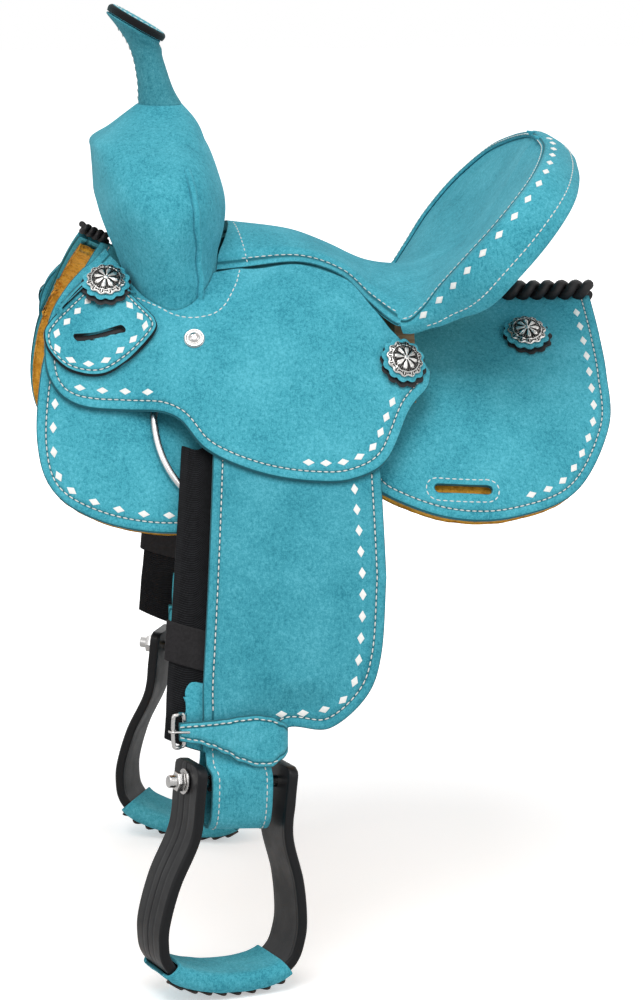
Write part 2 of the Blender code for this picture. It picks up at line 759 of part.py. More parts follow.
def make_roll():
    """The rolled leather rim round the cantle, from one side's tip to the other's."""
    last = len(SEAT_EDGES) - 1
    rows = seat_rows(RIM_START, last, 0, 1, 6)
    rings = []
    for index, row in enumerate(rows):
        edge = row[0]
        before = rows[max(index - 1, 0)][0]
        after = rows[min(index + 1, len(rows) - 1)][0]
        run = (after - before).normalized()
        inward = (row[1] - edge).normalized()
        if index == len(rows) - 1:
            inward = (rows[index - 1][3] - edge).normalized()
        normal = run.cross(inward).normalized()
        if normal.z < 0:
            normal = -normal
        away = normal.cross(run).normalized()
        if away.dot(inward) > 0:
            away = -away
        grow = ROLL_TIP + (1 - ROLL_TIP) * ease(index / 6)
        wide = ROLL_WIDTH * grow * (1 - 0.16 * ease((index - 8) / 8))
        bulge = ROLL_BULGE * grow * (1 - 0.35 * ease((index - 8) / 8))
        thick = ROLL_THICK * (0.5 + 0.5 * grow)
        profile = ((0.6, -0.6), (0.7 + bulge * 0.55, wide * 0.06), (0.7 + bulge, wide * 0.32),
                   (0.7 + bulge, wide * 0.66), (0.7 + bulge * 0.7, wide), (0.7 + bulge * 0.7
                   - thick * 0.7, wide * 0.97), (0.7 + bulge * 0.5, wide * 0.5),
                   (0.6, wide * 0.2))
        rings.append([edge + away * out - normal * back for out, back in profile])
    far = [[Vector((p.x, -p.y, p.z)) for p in ring] for ring in reversed(rings)]
    add_object("cantle_roll", loft(rings + far), "suede")


def make_bars():
    """The two tree bars, which lie on the skirts and carry the fork and the cantle."""
    last = len(SEAT_EDGES) - 1
    above = 6.0
    blocks = []
    for name, rows, below in (
            ("cut_under_seat", seat_rows(2, RIM_START + 2, 0.0, 1, 4, steps=1),
             GROUND_SEAT_THICK + 4.5),
            ("cut_under_cantle", seat_rows(DISH_START - 1, last, 0.0, 1, 4, steps=1),
             CANTLE_THICK + CANTLE_BACK_THICK + 3.4)):
        block = seat_sheet(name, rows, -above, above + SEAT_THICK + below, "wood")
        blocks.append(as_cutter(block))
    for word, side in SIDES:
        rings = []
        for x in (-138, -115, -90, -60, -30, 0, 30, 46, 60):
            low = SKIRT_LIFT + LAYER_GAP + 0.3
            rise = 16 * ease((x - 20) / 30)
            wide = between(x, ((-138, 82), (-105, 106)))
            shape = [(28, low), (68, low), (wide, low), (wide, BAR_LIFT - 4),
                     (wide - 9, BAR_LIFT),
                     (66, BAR_LIFT + rise * 0.8), (34, BAR_LIFT + rise), (28, BAR_LIFT - 4)]
            rings.append([on_back(x, s, lift, side) for s, lift in shape])
        bar = add_object(f"{word}_tree_bar", loft(rings), "wood")
        for block in blocks:
            boolean(bar, block)


# Rigging and stirrup leathers

DEE_PLACE = (-93, 136)
LOOP_EDGES = (((-70, 46), (-96, 170)), ((-28, 46), (-52, 170)))
LEATHER_EDGES = ((-114, -129, 366), (-99, -115, 367), (-84, -100, 367), (-70, -85, 366))
FENDER_EDGES = (
    (-88, -104, 366), (-74, -82, 370), (-59, -61, 367), (-44, -42, 334), (-16, -12, 337),
    (10, 14, 318), (23, 25, 290), (29, 30, 240),
)
KEEPER_HEIGHT = 28.0
KEEPER_PLACE = (-101.5, 299)
KEEPER_WIDTH = 50.5


def loop_lift(x, s):
    """Lift of the webbing where it comes over the bar and down to the hinge line."""
    start = BAR_LIFT + 1.2 + WEBBING_THICK
    return start + (WEBBING_LIFT - start) * ease((s - 112) / 50)


def make_rigging(word, side):
    """The rigging strap on the skirt, the dee ring and the webbing over the bar."""
    x, s = DEE_PLACE
    pairs = [((x - 30, s - 22), (x - 28, s - 4)), ((x, s - 22), (x, s - 4)),
             ((x + 30, s - 22), (x + 28, s - 4))]
    panel(f"{word}_rigging_strap", side, pairs, SKIRT_LIFT + LAYER_GAP + 3.4, 3.4,
          "black_leather", steps=2, rows=2)
    panel(f"{word}_leather_loop", side, LOOP_EDGES, loop_lift, WEBBING_THICK, "webbing",
          steps=3, rows=8)
    outline = []
    half = DEE_WIDTH / 2
    corner = 9.0
    for angle in range(180, -1, -18):
        turn = math.radians(angle)
        outline.append((x + half * math.cos(turn), s + corner
                        + (DEE_HEIGHT - corner) * math.sin(turn) ** 0.9))
    outline += [(x + half - 2, s + 3), (x + half - corner, s), (x - half + corner, s),
                (x - half + 2, s + 3)]
    points = [on_back(a, b, DEE_LIFT, side) for a, b in outline]
    curve_part(f"{word}_dee_ring", [(points, True)], DEE_WIRE / 2, "steel",
               resolution=1, caps=False)


def ribbon(name, side, path, width, thickness, finish):
    """A strap that follows a path of (out, up) round the bolt and turns with it."""
    x, y, z = BOLT_CENTRE
    rows = []
    for out, up in path:
        row = []
        for index in range(3):
            across = width * (index / 2 - 0.5)
            row.append(turned(Vector((x + across, y + out, z + up)), side))
        rows.append(row)
    bm = grid_mesh(rows, (0, side, 0.2))
    return as_cutter(thicken(add_object(name, bm, finish), thickness, 0.0))


def make_leathers(word, side, hinge):
    """The webbing stirrup leather, the fender and the keeper."""
    edges = [((top, s_at(top, HINGE_Z - 0.5, WEBBING_LIFT)), (low, s))
             for top, low, s in LEATHER_EDGES]
    leather = panel(f"{word}_stirrup_leather", side, edges, WEBBING_LIFT,
                    WEBBING_THICK, "webbing", steps=1, rows=12, turning=True)
    eye = BOLT_RADIUS + BOLT_CLEARANCE + WEBBING_THICK / 2
    hook = [(1.2, 36.0), (0.8, 30.0), (0.4, 23.0), (0.0, 15.0), (-4.0, 7.5)]
    for degrees in range(172, 410, 34):
        turn = math.radians(degrees)
        hook.append((eye * math.cos(turn), eye * math.sin(turn)))
    boolean(leather, ribbon(f"join_{word}_webbing_eye", side, hook, RIBBON_WIDTH - 4,
                            WEBBING_THICK - 0.4, "webbing"), "UNION")

    edges = [((top, s_at(top, HINGE_Z - 0.5, FENDER_LIFT)), (low, s))
             for top, low, s in FENDER_EDGES]
    fender = panel(f"{word}_fender", side, edges, FENDER_LIFT, FENDER_THICK,
                   "suede", steps=1, rows=12, turning=True)
    path = [(-4.1, 36), (-4.6, 30), (-5.6, 23), (-8.2, 15), (-11.5, 7.5),
            (-11.6, -8), (-8, -26), (0, -33), (8, -26), (11.6, -8), (11.5, 6), (11.2, 15),
            (10.2, 24), (9.2, 38), (8.8, 50), (8.8, 66)]
    boolean(fender, ribbon(f"join_{word}_fender_leg", side, path, RIBBON_WIDTH,
                           FENDER_THICK - 0.3, "suede"), "UNION")

    x, s = KEEPER_PLACE
    half = KEEPER_WIDTH / 2
    inner = WEBBING_LIFT - WEBBING_THICK - 0.6
    ring = [(x - half + 2, KEEPER_LIFT), (x + half - 2, KEEPER_LIFT),
            (x + half, KEEPER_LIFT - 2), (x + half, inner + 0.6), (x + half - 2, inner - 1.4),
            (x - half + 2, inner - 1.4), (x - half, inner + 0.6), (x - half, KEEPER_LIFT - 2)]
    rows = []
    for step in range(3):
        share = step / 2 - 0.5
        row = [on_back(a - 2.3 * share, s + KEEPER_HEIGHT * share, lift, side)
               for a, lift in ring]
        rows.append(row + [row[0]])
    bm = grid_mesh(rows, (0, side, 0))
    bmesh.ops.recalc_face_normals(bm, faces=bm.faces)
    keeper = thicken(add_object(f"{word}_leather_keeper", bm, "black_leather"), KEEPER_THICK)
    hang_on(hinge, leather, fender, keeper)


HOBBLE_FRONT = -119.0
HOBBLE_REAR = -47.0
HOBBLE_OUT = 212.6
HOBBLE_IN = 182.0
HOBBLE_EDGES = ((-124, -270.0, -284.0), (-102, -267.0, -285.0), (-84, -263.0, -288.5),
                (-68, -261.0, -290.0), (-54, -267.0, -290.5), (-40, -272.0, -290.0))
BUCKLE_BAR = -125.0
BUCKLE_HEIGHTS = (-287.0, -262.0)
BUCKLE_WIDTH = 15.0
BUCKLE_WIRE = 1.5
TONGUE_WIRE = 0.9


def hobble_levels(x):
    """Top and bottom of the hobble strap at x."""
    top = between(x, [(a, b) for a, b, _ in HOBBLE_EDGES])
    low = between(x, [(a, c) for a, _, c in HOBBLE_EDGES])
    return top, low


def make_hobble(word, side, hinge):
    """The hobble strap round the leathers, its buckle frame and the buckle's tongue."""
    radius = (HOBBLE_OUT - HOBBLE_IN) / 2
    path = [(HOBBLE_FRONT + (HOBBLE_REAR - HOBBLE_FRONT) * t / 5, HOBBLE_OUT)
            for t in range(6)]
    for degrees in range(30, 180, 30):
        turn = math.radians(degrees)
        path.append((HOBBLE_REAR + radius * math.sin(turn),
                     HOBBLE_IN + radius + radius * math.cos(turn)))
    path += [(HOBBLE_REAR - 24 * t, HOBBLE_IN) for t in range(3)]
    rows = []
    for x, y in path:
        shown = x if y > HOBBLE_IN + radius * 0.6 else -40
        top, low = hobble_levels(shown)
        rows.append([turned(Vector((x, y, top + (low - top) * t / 2)), side, 0.5)
                     for t in range(3)])
    bm = grid_mesh(rows, (0, side, 0))
    bm.faces.ensure_lookup_table()
    bm.normal_update()
    if bm.faces[0].normal.y * side < 0:
        bmesh.ops.reverse_faces(bm, faces=bm.faces)
    strap = thicken(add_object(f"{word}_hobble_strap", bm, "suede"), STRAP_THICK)

    low, high = BUCKLE_HEIGHTS
    near = HOBBLE_OUT - STRAP_THICK / 2
    far = near - 4.1
    corner = 2.5
    frame = [(BUCKLE_BAR, near, low + corner), (BUCKLE_BAR, near, high - corner),
             (BUCKLE_BAR + corner, near - 0.6, high),
             (BUCKLE_BAR + BUCKLE_WIDTH - corner, far + 0.6, high),
             (BUCKLE_BAR + BUCKLE_WIDTH, far, high - corner),
             (BUCKLE_BAR + BUCKLE_WIDTH, far, low + corner),
             (BUCKLE_BAR + BUCKLE_WIDTH - corner, far + 0.6, low),
             (BUCKLE_BAR + corner, near - 0.6, low)]
    points = [turned(Vector(p), side, 0.5) for p in frame]
    buckle = curve_part(f"{word}_hobble_buckle", [(points, True)], BUCKLE_WIRE, "steel",
                        resolution=1, caps=False)
    middle = (low + high) / 2
    eye = BUCKLE_WIRE + 0.5 + TONGUE_WIRE
    hook = []
    for degrees in range(-60, 215, 45):
        turn = math.radians(degrees)
        hook.append((BUCKLE_BAR - eye * math.sin(turn), near - eye * math.cos(turn), middle))
    hook.append((BUCKLE_BAR + 18.0, near + eye * 0.98, middle))
    points = [turned(Vector(p), side, 0.5) for p in hook]
    tongue = curve_part(f"{word}_buckle_tongue", [(points, False)], TONGUE_WIRE, "steel",
                        resolution=1)
    axis = turned(Vector((BUCKLE_BAR, near, middle)), side, 0.5)
    hang_on(hinge, strap, buckle)
    hang_on(make_empty(f"{word}_tongue_hinge", *axis), tongue)


# Stirrup

STIRRUP_SIDE = (
    (STIRRUP_NECK, STIRRUP_HEAD), (STIRRUP_NECK, STIRRUP_HEAD - 7), (STIRRUP_NECK, -10),
    (STIRRUP_NECK + 1, -36),
    (STIRRUP_BELLY * 0.9, -68), (STIRRUP_BELLY, -97), (STIRRUP_BELLY * 0.99, -114),
    (STIRRUP_BELLY * 0.92, -127), (STIRRUP_BELLY * 0.74, -137), (STIRRUP_BELLY * 0.42, -143),
    (0, -STIRRUP_DROP),
)
BOW_SECTION = ((-1.0, 1.5), (-0.8, 0.0), (0.8, 0.0), (1.0, 1.5))


def stirrup_frame(side):
    """Frame at the bolt: X along the bolt and Z up."""
    x, y, z = BOLT_CENTRE
    return (Matrix.Translation((x, -side * y, z))
            @ Matrix.Rotation(-side * STIRRUP_TURN, 4, "Z")
            @ Matrix.Rotation(STIRRUP_TILT, 4, "Y"))


def bow_path():
    """Points down one leg and up the other, each with its direction to the inside."""
    outline = [Vector(p) for p in STIRRUP_SIDE]
    outline = outline + [Vector((-p[0], p[1])) for p in reversed(outline[:-1])]
    path = []
    for index, point in enumerate(outline):
        before = outline[max(index - 1, 0)]
        after = outline[min(index + 1, len(outline) - 1)]
        run = (after - before).normalized()
        inward = Vector((run[1], 0, -run[0]))
        if inward.dot(Vector((-point[0], 0, -60 - point[1]))) < 0:
            inward = -inward
        path.append((point, inward))
    return path


def make_stirrup(word, side):
    """The moulded bow, its bolt with washer and nut, and the laced tread cover."""
    frame = stirrup_frame(side)
    half = STIRRUP_DEPTH / 2
    path = bow_path()
    rows = []
    for point, inward in path:
        deep = half * between(point[1], ((STIRRUP_HEAD - 7, 0.95), (STIRRUP_HEAD, 0.6)))
        deep = half if point[1] < 0 else deep
        rows.append([frame @ (Vector((point[0], deep * across, point[1])) + inward * dip)
                     for across, dip in BOW_SECTION])
    bm = grid_mesh(rows, (0, 0, -1))
    bow = thicken(add_object(f"{word}_stirrup", bm, "black_plastic"), STIRRUP_WALL)
    bore = bmesh.new()
    across = Matrix.Rotation(math.pi / 2, 4, "Y")
    bmesh.ops.create_cone(bore, cap_ends=True, segments=16, depth=120,
                          radius1=BOLT_RADIUS + BOLT_CLEARANCE,
                          radius2=BOLT_RADIUS + BOLT_CLEARANCE, matrix=frame @ across)
    boolean(bow, as_cutter(add_object(f"cut_{word}_bolt_bore", bore, "steel")))

    face = STIRRUP_NECK + 0.4
    stack = ((BOLT_RADIUS, -face - 13, face + 2, 14), (9.0, -face - 1.6, -face, 18),
             (7.2, -face - 7.6, -face - 1.0, 6), (8.2, face, face + 3.4, 18))
    bm = bmesh.new()
    for radius, start, end, segments in stack:
        place = Matrix.Translation(((start + end) / 2, 0, 0))
        bmesh.ops.create_cone(bm, cap_ends=True, segments=segments, depth=end - start,
                              radius1=radius, radius2=radius,
                              matrix=frame @ place @ across)
    bolt = add_object(f"{word}_stirrup_bolt", bm, "steel")
    join_shells(bolt)

    wide = half + LAYER_GAP + TREAD_COVER_THICK
    under = LAYER_GAP + TREAD_COVER_THICK
    over = STIRRUP_WALL + 2 * LAYER_GAP + TREAD_COVER_THICK
    ring = ((-wide, -under + 3), (-wide + 3, -under), (wide - 3, -under), (wide, -under + 3),
            (wide, over - 3), (wide - 4, over), (-wide + 4, over), (-wide, over - 3))
    rows = []
    for point, inward in path:
        if abs(point[0]) < TREAD_REACH and point[1] < -120:
            row = [frame @ (Vector((point[0], across_y, point[1])) + inward * up)
                   for across_y, up in ring]
            rows.append(row + [row[0]])
    bm = grid_mesh(rows, (0, 0, -1))
    bmesh.ops.recalc_face_normals(bm, faces=bm.faces)
    cover = thicken(add_object(f"{word}_tread_cover", bm, "suede"), TREAD_COVER_THICK)
    x, y, z = BOLT_CENTRE
    hang_on(make_empty(f"{word}_stirrup_pivot", x, -side * y, z), bow, bolt, cover)


clear_scene()
PARTS = make_collection("barrel_racing_saddle")
CUTTERS = make_collection("cutters")
EMPTY_GROUP = bpy.data.collections.new("nothing")


def main():
    """Build the saddle."""
    fork_block = make_fork()
    make_horn()
    make_seat(fork_block)
    make_roll()
    make_bars()
    make_lacing("front_lacing", -180, -158)
    make_lacing("rear_lacing", 150, 197)
    for word, side in SIDES:
        make_skirt(word, side)
        make_jockey(word, side, fork_block)
        make_plate(word, side)
        for place, spot, lift in CONCHO_PLACES:
            make_concho(word, side, place, spot, lift)
        make_rigging(word, side)
        hinge = make_empty(f"{word}_fender_hinge", -60, side * HINGE_Y, HINGE_Z)
        make_leathers(word, side, hinge)
        make_hobble(word, side, hinge)
        make_stirrup(word, side)


main()
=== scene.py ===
"""Visual scene of a youth barrel racing saddle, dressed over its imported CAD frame.

Lengths in the classes are millimetres. x runs along the saddle with the horse's head at
-x, s runs down the side from the horse's spine, and the near (left) side is -y.
"""
import logging
import math
from dataclasses import dataclass
from enum import Enum
from functools import lru_cache
from typing import Callable, Optional, Sequence

import bpy
import numpy as np
from mathutils import Matrix, Vector, noise


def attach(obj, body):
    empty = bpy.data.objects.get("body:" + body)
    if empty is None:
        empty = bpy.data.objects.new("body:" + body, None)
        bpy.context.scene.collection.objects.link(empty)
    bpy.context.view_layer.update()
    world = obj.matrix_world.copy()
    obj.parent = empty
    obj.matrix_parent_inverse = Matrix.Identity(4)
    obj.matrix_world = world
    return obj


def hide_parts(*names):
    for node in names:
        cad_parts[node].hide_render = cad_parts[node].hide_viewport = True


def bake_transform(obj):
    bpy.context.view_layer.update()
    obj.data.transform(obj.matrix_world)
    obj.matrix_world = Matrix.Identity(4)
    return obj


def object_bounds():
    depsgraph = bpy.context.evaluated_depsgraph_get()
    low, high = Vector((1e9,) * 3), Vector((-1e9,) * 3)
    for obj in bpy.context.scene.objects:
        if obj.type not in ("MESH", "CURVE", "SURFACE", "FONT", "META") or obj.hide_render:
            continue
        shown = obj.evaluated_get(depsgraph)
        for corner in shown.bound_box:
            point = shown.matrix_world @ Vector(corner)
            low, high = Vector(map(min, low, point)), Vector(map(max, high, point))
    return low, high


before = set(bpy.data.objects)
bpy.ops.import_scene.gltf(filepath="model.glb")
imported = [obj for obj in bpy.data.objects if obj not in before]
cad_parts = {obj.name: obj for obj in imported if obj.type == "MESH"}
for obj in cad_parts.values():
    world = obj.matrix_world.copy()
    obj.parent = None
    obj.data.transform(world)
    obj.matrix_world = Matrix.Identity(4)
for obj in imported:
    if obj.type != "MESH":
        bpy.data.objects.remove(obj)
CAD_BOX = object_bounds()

LOG = logging.getLogger("saddle")
MM = 0.001
SEAM_GAP = 12.0
FAR_FROM_EDGE = 60.0
Colour = tuple[float, float, float]
Place = tuple[float, float]
Surface = Callable[[float, float], Vector]
Piece = bpy.types.Object
Blend = tuple[str, Sequence[float], Sequence[float]]


class Side(Enum):
    """The rider's left (near) and right (off) side."""

    LEFT = -1
    RIGHT = 1

    @property
    def word(self) -> str:
        """Name of the side in the frame's nodes."""
        return self.name.lower()


class Slot(Enum):
    """Material slots of the record."""

    SUEDE = "suede"
    DARK_SUEDE = "suede_dark"
    FLEECE = "fleece"
    BLACK_LEATHER = "black_leather"
    WEBBING = "webbing"
    PLASTIC = "black_plastic"
    STEEL = "steel"
    SILVER = "silver"


# Numbers and curves

def ease(t: float) -> float:
    """Go from 0 to 1 with no slope at either end."""
    t = min(max(t, 0.0), 1.0)
    return t * t * (3 - 2 * t)


def between(x: float, table: Sequence[Place]) -> float:
    """Read a smooth value from a short table.

    Args:
        x: where to read.
        table: pairs of x and value.

    Returns:
        The value at x.
    """
    if x <= table[0][0]:
        return table[0][1]
    for (x0, v0), (x1, v1) in zip(table, table[1:]):
        if x <= x1:
            return v0 + (v1 - v0) * ease((x - x0) / (x1 - x0))
    return table[-1][1]


def smooth_curve(controls: Sequence[Sequence[float]], steps: int, closed: bool = False) -> np.ndarray:
    """Pass a smooth curve through control points.

    Args:
        controls: the points, of any dimension.
        steps: points to each span.
        closed: whether the curve joins up with its start.

    Returns:
        The points of the curve, one a row.
    """
    points = np.array(controls, float)
    if closed:
        ends = np.vstack([points[-1], points, points[0], points[1]])
    else:
        ends = np.vstack([2 * points[0] - points[1], points, 2 * points[-1] - points[-2]])
    t = (np.arange(steps) / steps)[:, None]
    rows = []
    for a, b, c, d in zip(ends, ends[1:], ends[2:], ends[3:]):
        rows.append(0.5 * (2 * b + (c - a) * t + (2 * a - 5 * b + 4 * c - d) * t * t
                           + (3 * b - a - 3 * c + d) * t ** 3))
    if not closed:
        rows.append(points[-1:])
    return np.vstack(rows)


def respaced(line: np.ndarray, count: int, measure: Optional[np.ndarray] = None) -> np.ndarray:
    """Space a polyline's points evenly.

    Args:
        line: the points, one a row.
        count: how many points to return.
        measure: length of each span, where it isn't the distance.

    Returns:
        The new points.
    """
    spans = np.linalg.norm(np.diff(line, axis=0), axis=1) if measure is None else measure
    along = np.concatenate([[0], np.cumsum(spans)])
    want = np.linspace(0, along[-1], count)
    return np.stack([np.interp(want, along, line[:, k]) for k in range(line.shape[1])], axis=1)


def distance_to(points: np.ndarray, line: np.ndarray) -> np.ndarray:
    """Least distance from each point to a polyline.

    Args:
        points: flat points, one a row.
        line: the polyline's points.

    Returns:
        One distance for each point.
    """
    best = np.full(len(points), 1e9)
    for a, b in zip(line, line[1:]):
        run = b - a
        t = np.clip((points - a) @ run / max(float(run @ run), 1e-9), 0, 1)
        best = np.minimum(best, np.linalg.norm(points - a - t[:, None] * run, axis=1))
    return best


def inside(points: np.ndarray, outline: np.ndarray) -> np.ndarray:
    """Tell which points lie in a closed outline.

    Args:
        points: flat points, one a row.
        outline: the outline's corners.

    Returns:
        One truth value for each point.
    """
    result = np.zeros(len(points), bool)
    for (x0, y0), (x1, y1) in zip(outline, np.roll(outline, -1, axis=0)):
        if y0 == y1:
            continue
        crosses = (points[:, 1] < y0) != (points[:, 1] < y1)
        result ^= crosses & (points[:, 0] < (x1 - x0) * (points[:, 1] - y0) / (y1 - y0) + x0)
    return result


def inset(line: np.ndarray, depth: float, outline: np.ndarray) -> np.ndarray:
    """Move part of an outline inwards, as a stitch groover does.

    Args:
        line: the part of the outline.
        depth: how far to move it.
        outline: the whole outline, which tells the inside.

    Returns:
        The moved line, without what would lie nearer to the edge.
    """
    length = float(np.linalg.norm(np.diff(line, axis=0), axis=1).sum())
    fine = respaced(line, max(int(length), 8))
    run = np.gradient(fine, axis=0)
    normal = np.stack([-run[:, 1], run[:, 0]], axis=1)
    normal /= np.linalg.norm(normal, axis=1)[:, None] + 1e-9
    if inside(fine + normal * depth, outline).mean() < 0.5:
        normal = -normal
    moved = fine + normal * depth
    keep = (distance_to(moved, fine) > depth - 0.3) & inside(moved, outline)
    return moved[keep]


# The horse's back, which the flat leathers lie on

@dataclass(frozen=True)
class HorseBack:
    """Shape of the horse's back and the lift of each layer on it."""

    slope: float = math.radians(28)
    radius: float = 338.0
    wither_rise: float = 40.0
    wither_reach: float = 170.0
    loin_drop: float = 8.0
    loin_reach: float = 120.0
    fleece: float = 7.4
    skirt: float = 13.3
    dee: float = 16.4
    webbing: float = 22.0
    keeper: float = 23.9
    fender: float = 27.6
    bar: float = 28.8
    jockey_edge: float = 31.9
    jockey_front: float = 18.6

    def rise(self, x: float) -> float:
        """Height of the spine at x."""
        if x < 0:
            return self.wither_rise * (x / self.wither_reach) ** 2
        return -self.loin_drop * ease(x / self.loin_reach)

    def width(self, x: float) -> float:
        """Share of the full width at x.

        Args:
            x: place along the saddle.

        Returns:
            The share.
        """
        if x > 60:
            return 1 - 0.25 * ((x - 60) / 150) ** 2
        if x < -100:
            return 1 - 0.12 * ((x + 100) / self.loin_reach) ** 2
        return 1.0

    def point(self, x: float, s: float, lift: float, side: Side) -> Vector:
        """Point over the back.

        Args:
            x: place along the saddle.
            s: way down from the spine.
            lift: height off the back.
            side: which side of the horse.

        Returns:
            The point in millimetres.
        """
        angle = self.slope + s / self.radius
        below = max(angle - math.pi / 2, 0.0) * self.radius
        angle = min(angle, math.pi / 2)
        reach = self.radius + lift
        y = (reach * math.sin(angle) - self.radius * math.sin(self.slope)) * self.width(x)
        z = self.rise(x) - self.radius * math.cos(self.slope) + reach * math.cos(angle) - below
        return Vector((x, side.value * y, z))

    def way_down(self, x: float, y: float, z: float) -> float:
        """How far down from the spine a point over the back is."""
        across = abs(y) / self.width(x) + self.radius * math.sin(self.slope)
        up = z - self.rise(x) + self.radius * math.cos(self.slope)
        return (math.atan2(across, up) - self.slope) * self.radius

    def jockey(self, x: float, s: float) -> float:
        """Lift of the jockey's outer face, high over the bars and low at its edge.

        Args:
            x: place along the saddle.
            s: way down round the back.

        Returns:
            The lift in millimetres.
        """
        edge = between(x, ((-150, self.jockey_front), (-105, self.jockey_edge)))
        ridge = between(x, ((-175, 22), (-150, 32), (-120, 46), (-90, 54), (-60, 59), (-21, 67),
                            (11, 65), (31, 60), (44, 56), (54, 50), (72, 40)))
        return edge + (ridge - edge) * (1 - ease((s - 40) / 135))

    def plate(self, x: float, s: float) -> float:
        """Lift of the front plate's outer face."""
        return self.jockey(x, s) + 5.0


BACK = HorseBack()


@dataclass(frozen=True)
class StirrupTurn:
    """How the lower leathers turn towards the stirrup."""

    bolt: tuple[float, float, float] = (-78.0, -200.0, -307.0)
    turn: float = math.radians(20)
    tilt: float = math.radians(6)

    def share(self, x: float, z: float) -> float:
        """Share of the full turn at x, z."""
        upper = ease((-232 - z) / 28)
        lower = ease((-292 - z) / 9)
        return 0.5 * (upper + lower) * (1 - ease((x + 42) / 47))

    def turned(self, point: Vector, side: Side, share: Optional[float] = None) -> Vector:
        """Turn a point of the lower leathers about the upright line through the bolt.

        Args:
            point: the point, on either side.
            side: the side that it belongs to.
            share: share of the full turn, where it isn't the place's own.

        Returns:
            The turned point.
        """
        if share is None:
            share = self.share(point.x, point.z)
        x, y = self.bolt[:2]
        dx, dy = point.x - x, -abs(point.y) - y
        c, s = math.cos(self.turn * share), math.sin(self.turn * share)
        drop = dx * math.tan(self.tilt) * share
        return Vector((x + dx * c - dy * s, -side.value * (y + dx * s + dy * c), point.z - drop))

    def frame(self, side: Side) -> Matrix:
        """Frame at the bolt, with X along the bolt and Z up.

        Args:
            side: the saddle's side.

        Returns:
            The frame.
        """
        x, y, z = self.bolt
        return (Matrix.Translation((x, -side.value * y, z))
                @ Matrix.Rotation(-side.value * self.turn, 4, "Z")
                @ Matrix.Rotation(self.tilt, 4, "Y"))


TURN = StirrupTurn()


# Modelling by hand

def only(piece: Piece) -> None:
    """Select one object and make it active."""
    bpy.ops.object.select_all(action="DESELECT")
    piece.select_set(True)
    bpy.context.view_layer.objects.active = piece


def begin_edit(piece: Piece) -> None:
    """Open a piece in edit mode with all of it selected."""
    only(piece)
    bpy.ops.object.mode_set(mode="EDIT")
    bpy.ops.mesh.select_all(action="SELECT")


def end_edit() -> None:
    """Go back to object mode."""
    bpy.ops.object.mode_set(mode="OBJECT")


def apply_modifiers(piece: Piece) -> Piece:
    """Apply a piece's modifiers in order.

    Args:
        piece: what it works on.

    Returns:
        The same piece.
    """
    only(piece)
    for modifier in list(piece.modifiers):
        bpy.ops.object.modifier_apply(modifier=modifier.name)
    return piece


def smooth(piece: Piece, degrees: float = 40) -> Piece:
    """Shade a piece smooth, with creases past an angle."""
    only(piece)
    bpy.ops.object.shade_smooth_by_angle(angle=math.radians(degrees))
    return piece


def named(name: str) -> Piece:
    """Name the active object and its mesh.

    Args:
        name: its name.

    Returns:
        The piece.
    """
    piece = bpy.context.object
    piece.name = name
    piece.data.name = name
    return piece


def grid(name: str, columns: int, rows: int, place: Surface,
         outward: Optional[Sequence[float]] = None) -> Piece:
    """Add a grid primitive and lay it over a surface.

    Args:
        name: the piece's name.
        columns: faces along u.
        rows: faces along v.
        place: the surface, in millimetres, of u and v from 0 to 1.
        outward: a way that an open sheet faces. A closed one needs none.

    Returns:
        The new piece.
    """
    bpy.ops.object.select_all(action="DESELECT")
    bpy.ops.mesh.primitive_grid_add(x_subdivisions=columns, y_subdivisions=rows, size=1)
    piece = named(name)
    mesh = piece.data
    flat = np.empty(len(mesh.vertices) * 3)
    mesh.vertices.foreach_get("co", flat)
    flat = flat.reshape(-1, 3) + 0.5
    laid = np.array([place(min(max(u, 0.0), 1.0), min(max(v, 0.0), 1.0)) for u, v, _ in flat])
    mesh.vertices.foreach_set("co", (laid * MM).ravel())
    mesh.update()
    begin_edit(piece)
    bpy.ops.mesh.remove_doubles(threshold=0.00001)
    if outward is None:
        bpy.ops.mesh.normals_make_consistent(inside=False)
    end_edit()
    if outward is not None:
        facing = sum((p.normal * p.area for p in mesh.polygons), Vector())
        if facing.dot(Vector(outward)) < 0:
            begin_edit(piece)
            bpy.ops.mesh.flip_normals()
            end_edit()
    return piece


def close_ends(piece: Piece) -> Piece:
    """Fill a piece's open ends.

    Args:
        piece: what it works on.

    Returns:
        The same piece.
    """
    begin_edit(piece)
    bpy.ops.mesh.fill_holes(sides=0)
    bpy.ops.mesh.normals_make_consistent(inside=False)
    end_edit()
    return piece


def face_out(piece: Piece) -> None:
    """Turn a piece's faces outwards."""
    begin_edit(piece)
    bpy.ops.mesh.normals_make_consistent(inside=False)
    end_edit()


def add_bevel(piece: Piece, width: float, segments: int, degrees: float = 30) -> None:
    """Round the edges that are sharper than an angle.

    Args:
        piece: what it works on.
        width: width of the rounded edge.
        segments: faces of the rounded edge.
        degrees: the angle past which an edge stays sharp.
    """
    edge = piece.modifiers.new("edge", "BEVEL")
    edge.width, edge.segments = width, segments
    edge.limit_method = "ANGLE"
    edge.angle_limit = math.radians(degrees)


def give_wall(piece: Piece, thickness: float, rounding: float = 0.6) -> Piece:
    """Give an open sheet its thickness behind its face, and round its edges.

    Args:
        piece: the sheet.
        thickness: its wall.
        rounding: radius of the edges, or 0.

    Returns:
        The same piece.
    """
    wall = piece.modifiers.new("wall", "SOLIDIFY")
    wall.thickness = thickness * MM
    wall.offset = -1
    wall.use_quality_normals = True
    if "wall" in piece.vertex_groups:
        wall.vertex_group = "wall"
        wall.thickness_vertex_group = 0.0
    if rounding:
        add_bevel(piece, rounding * MM, 2, 50)
    return apply_modifiers(piece)


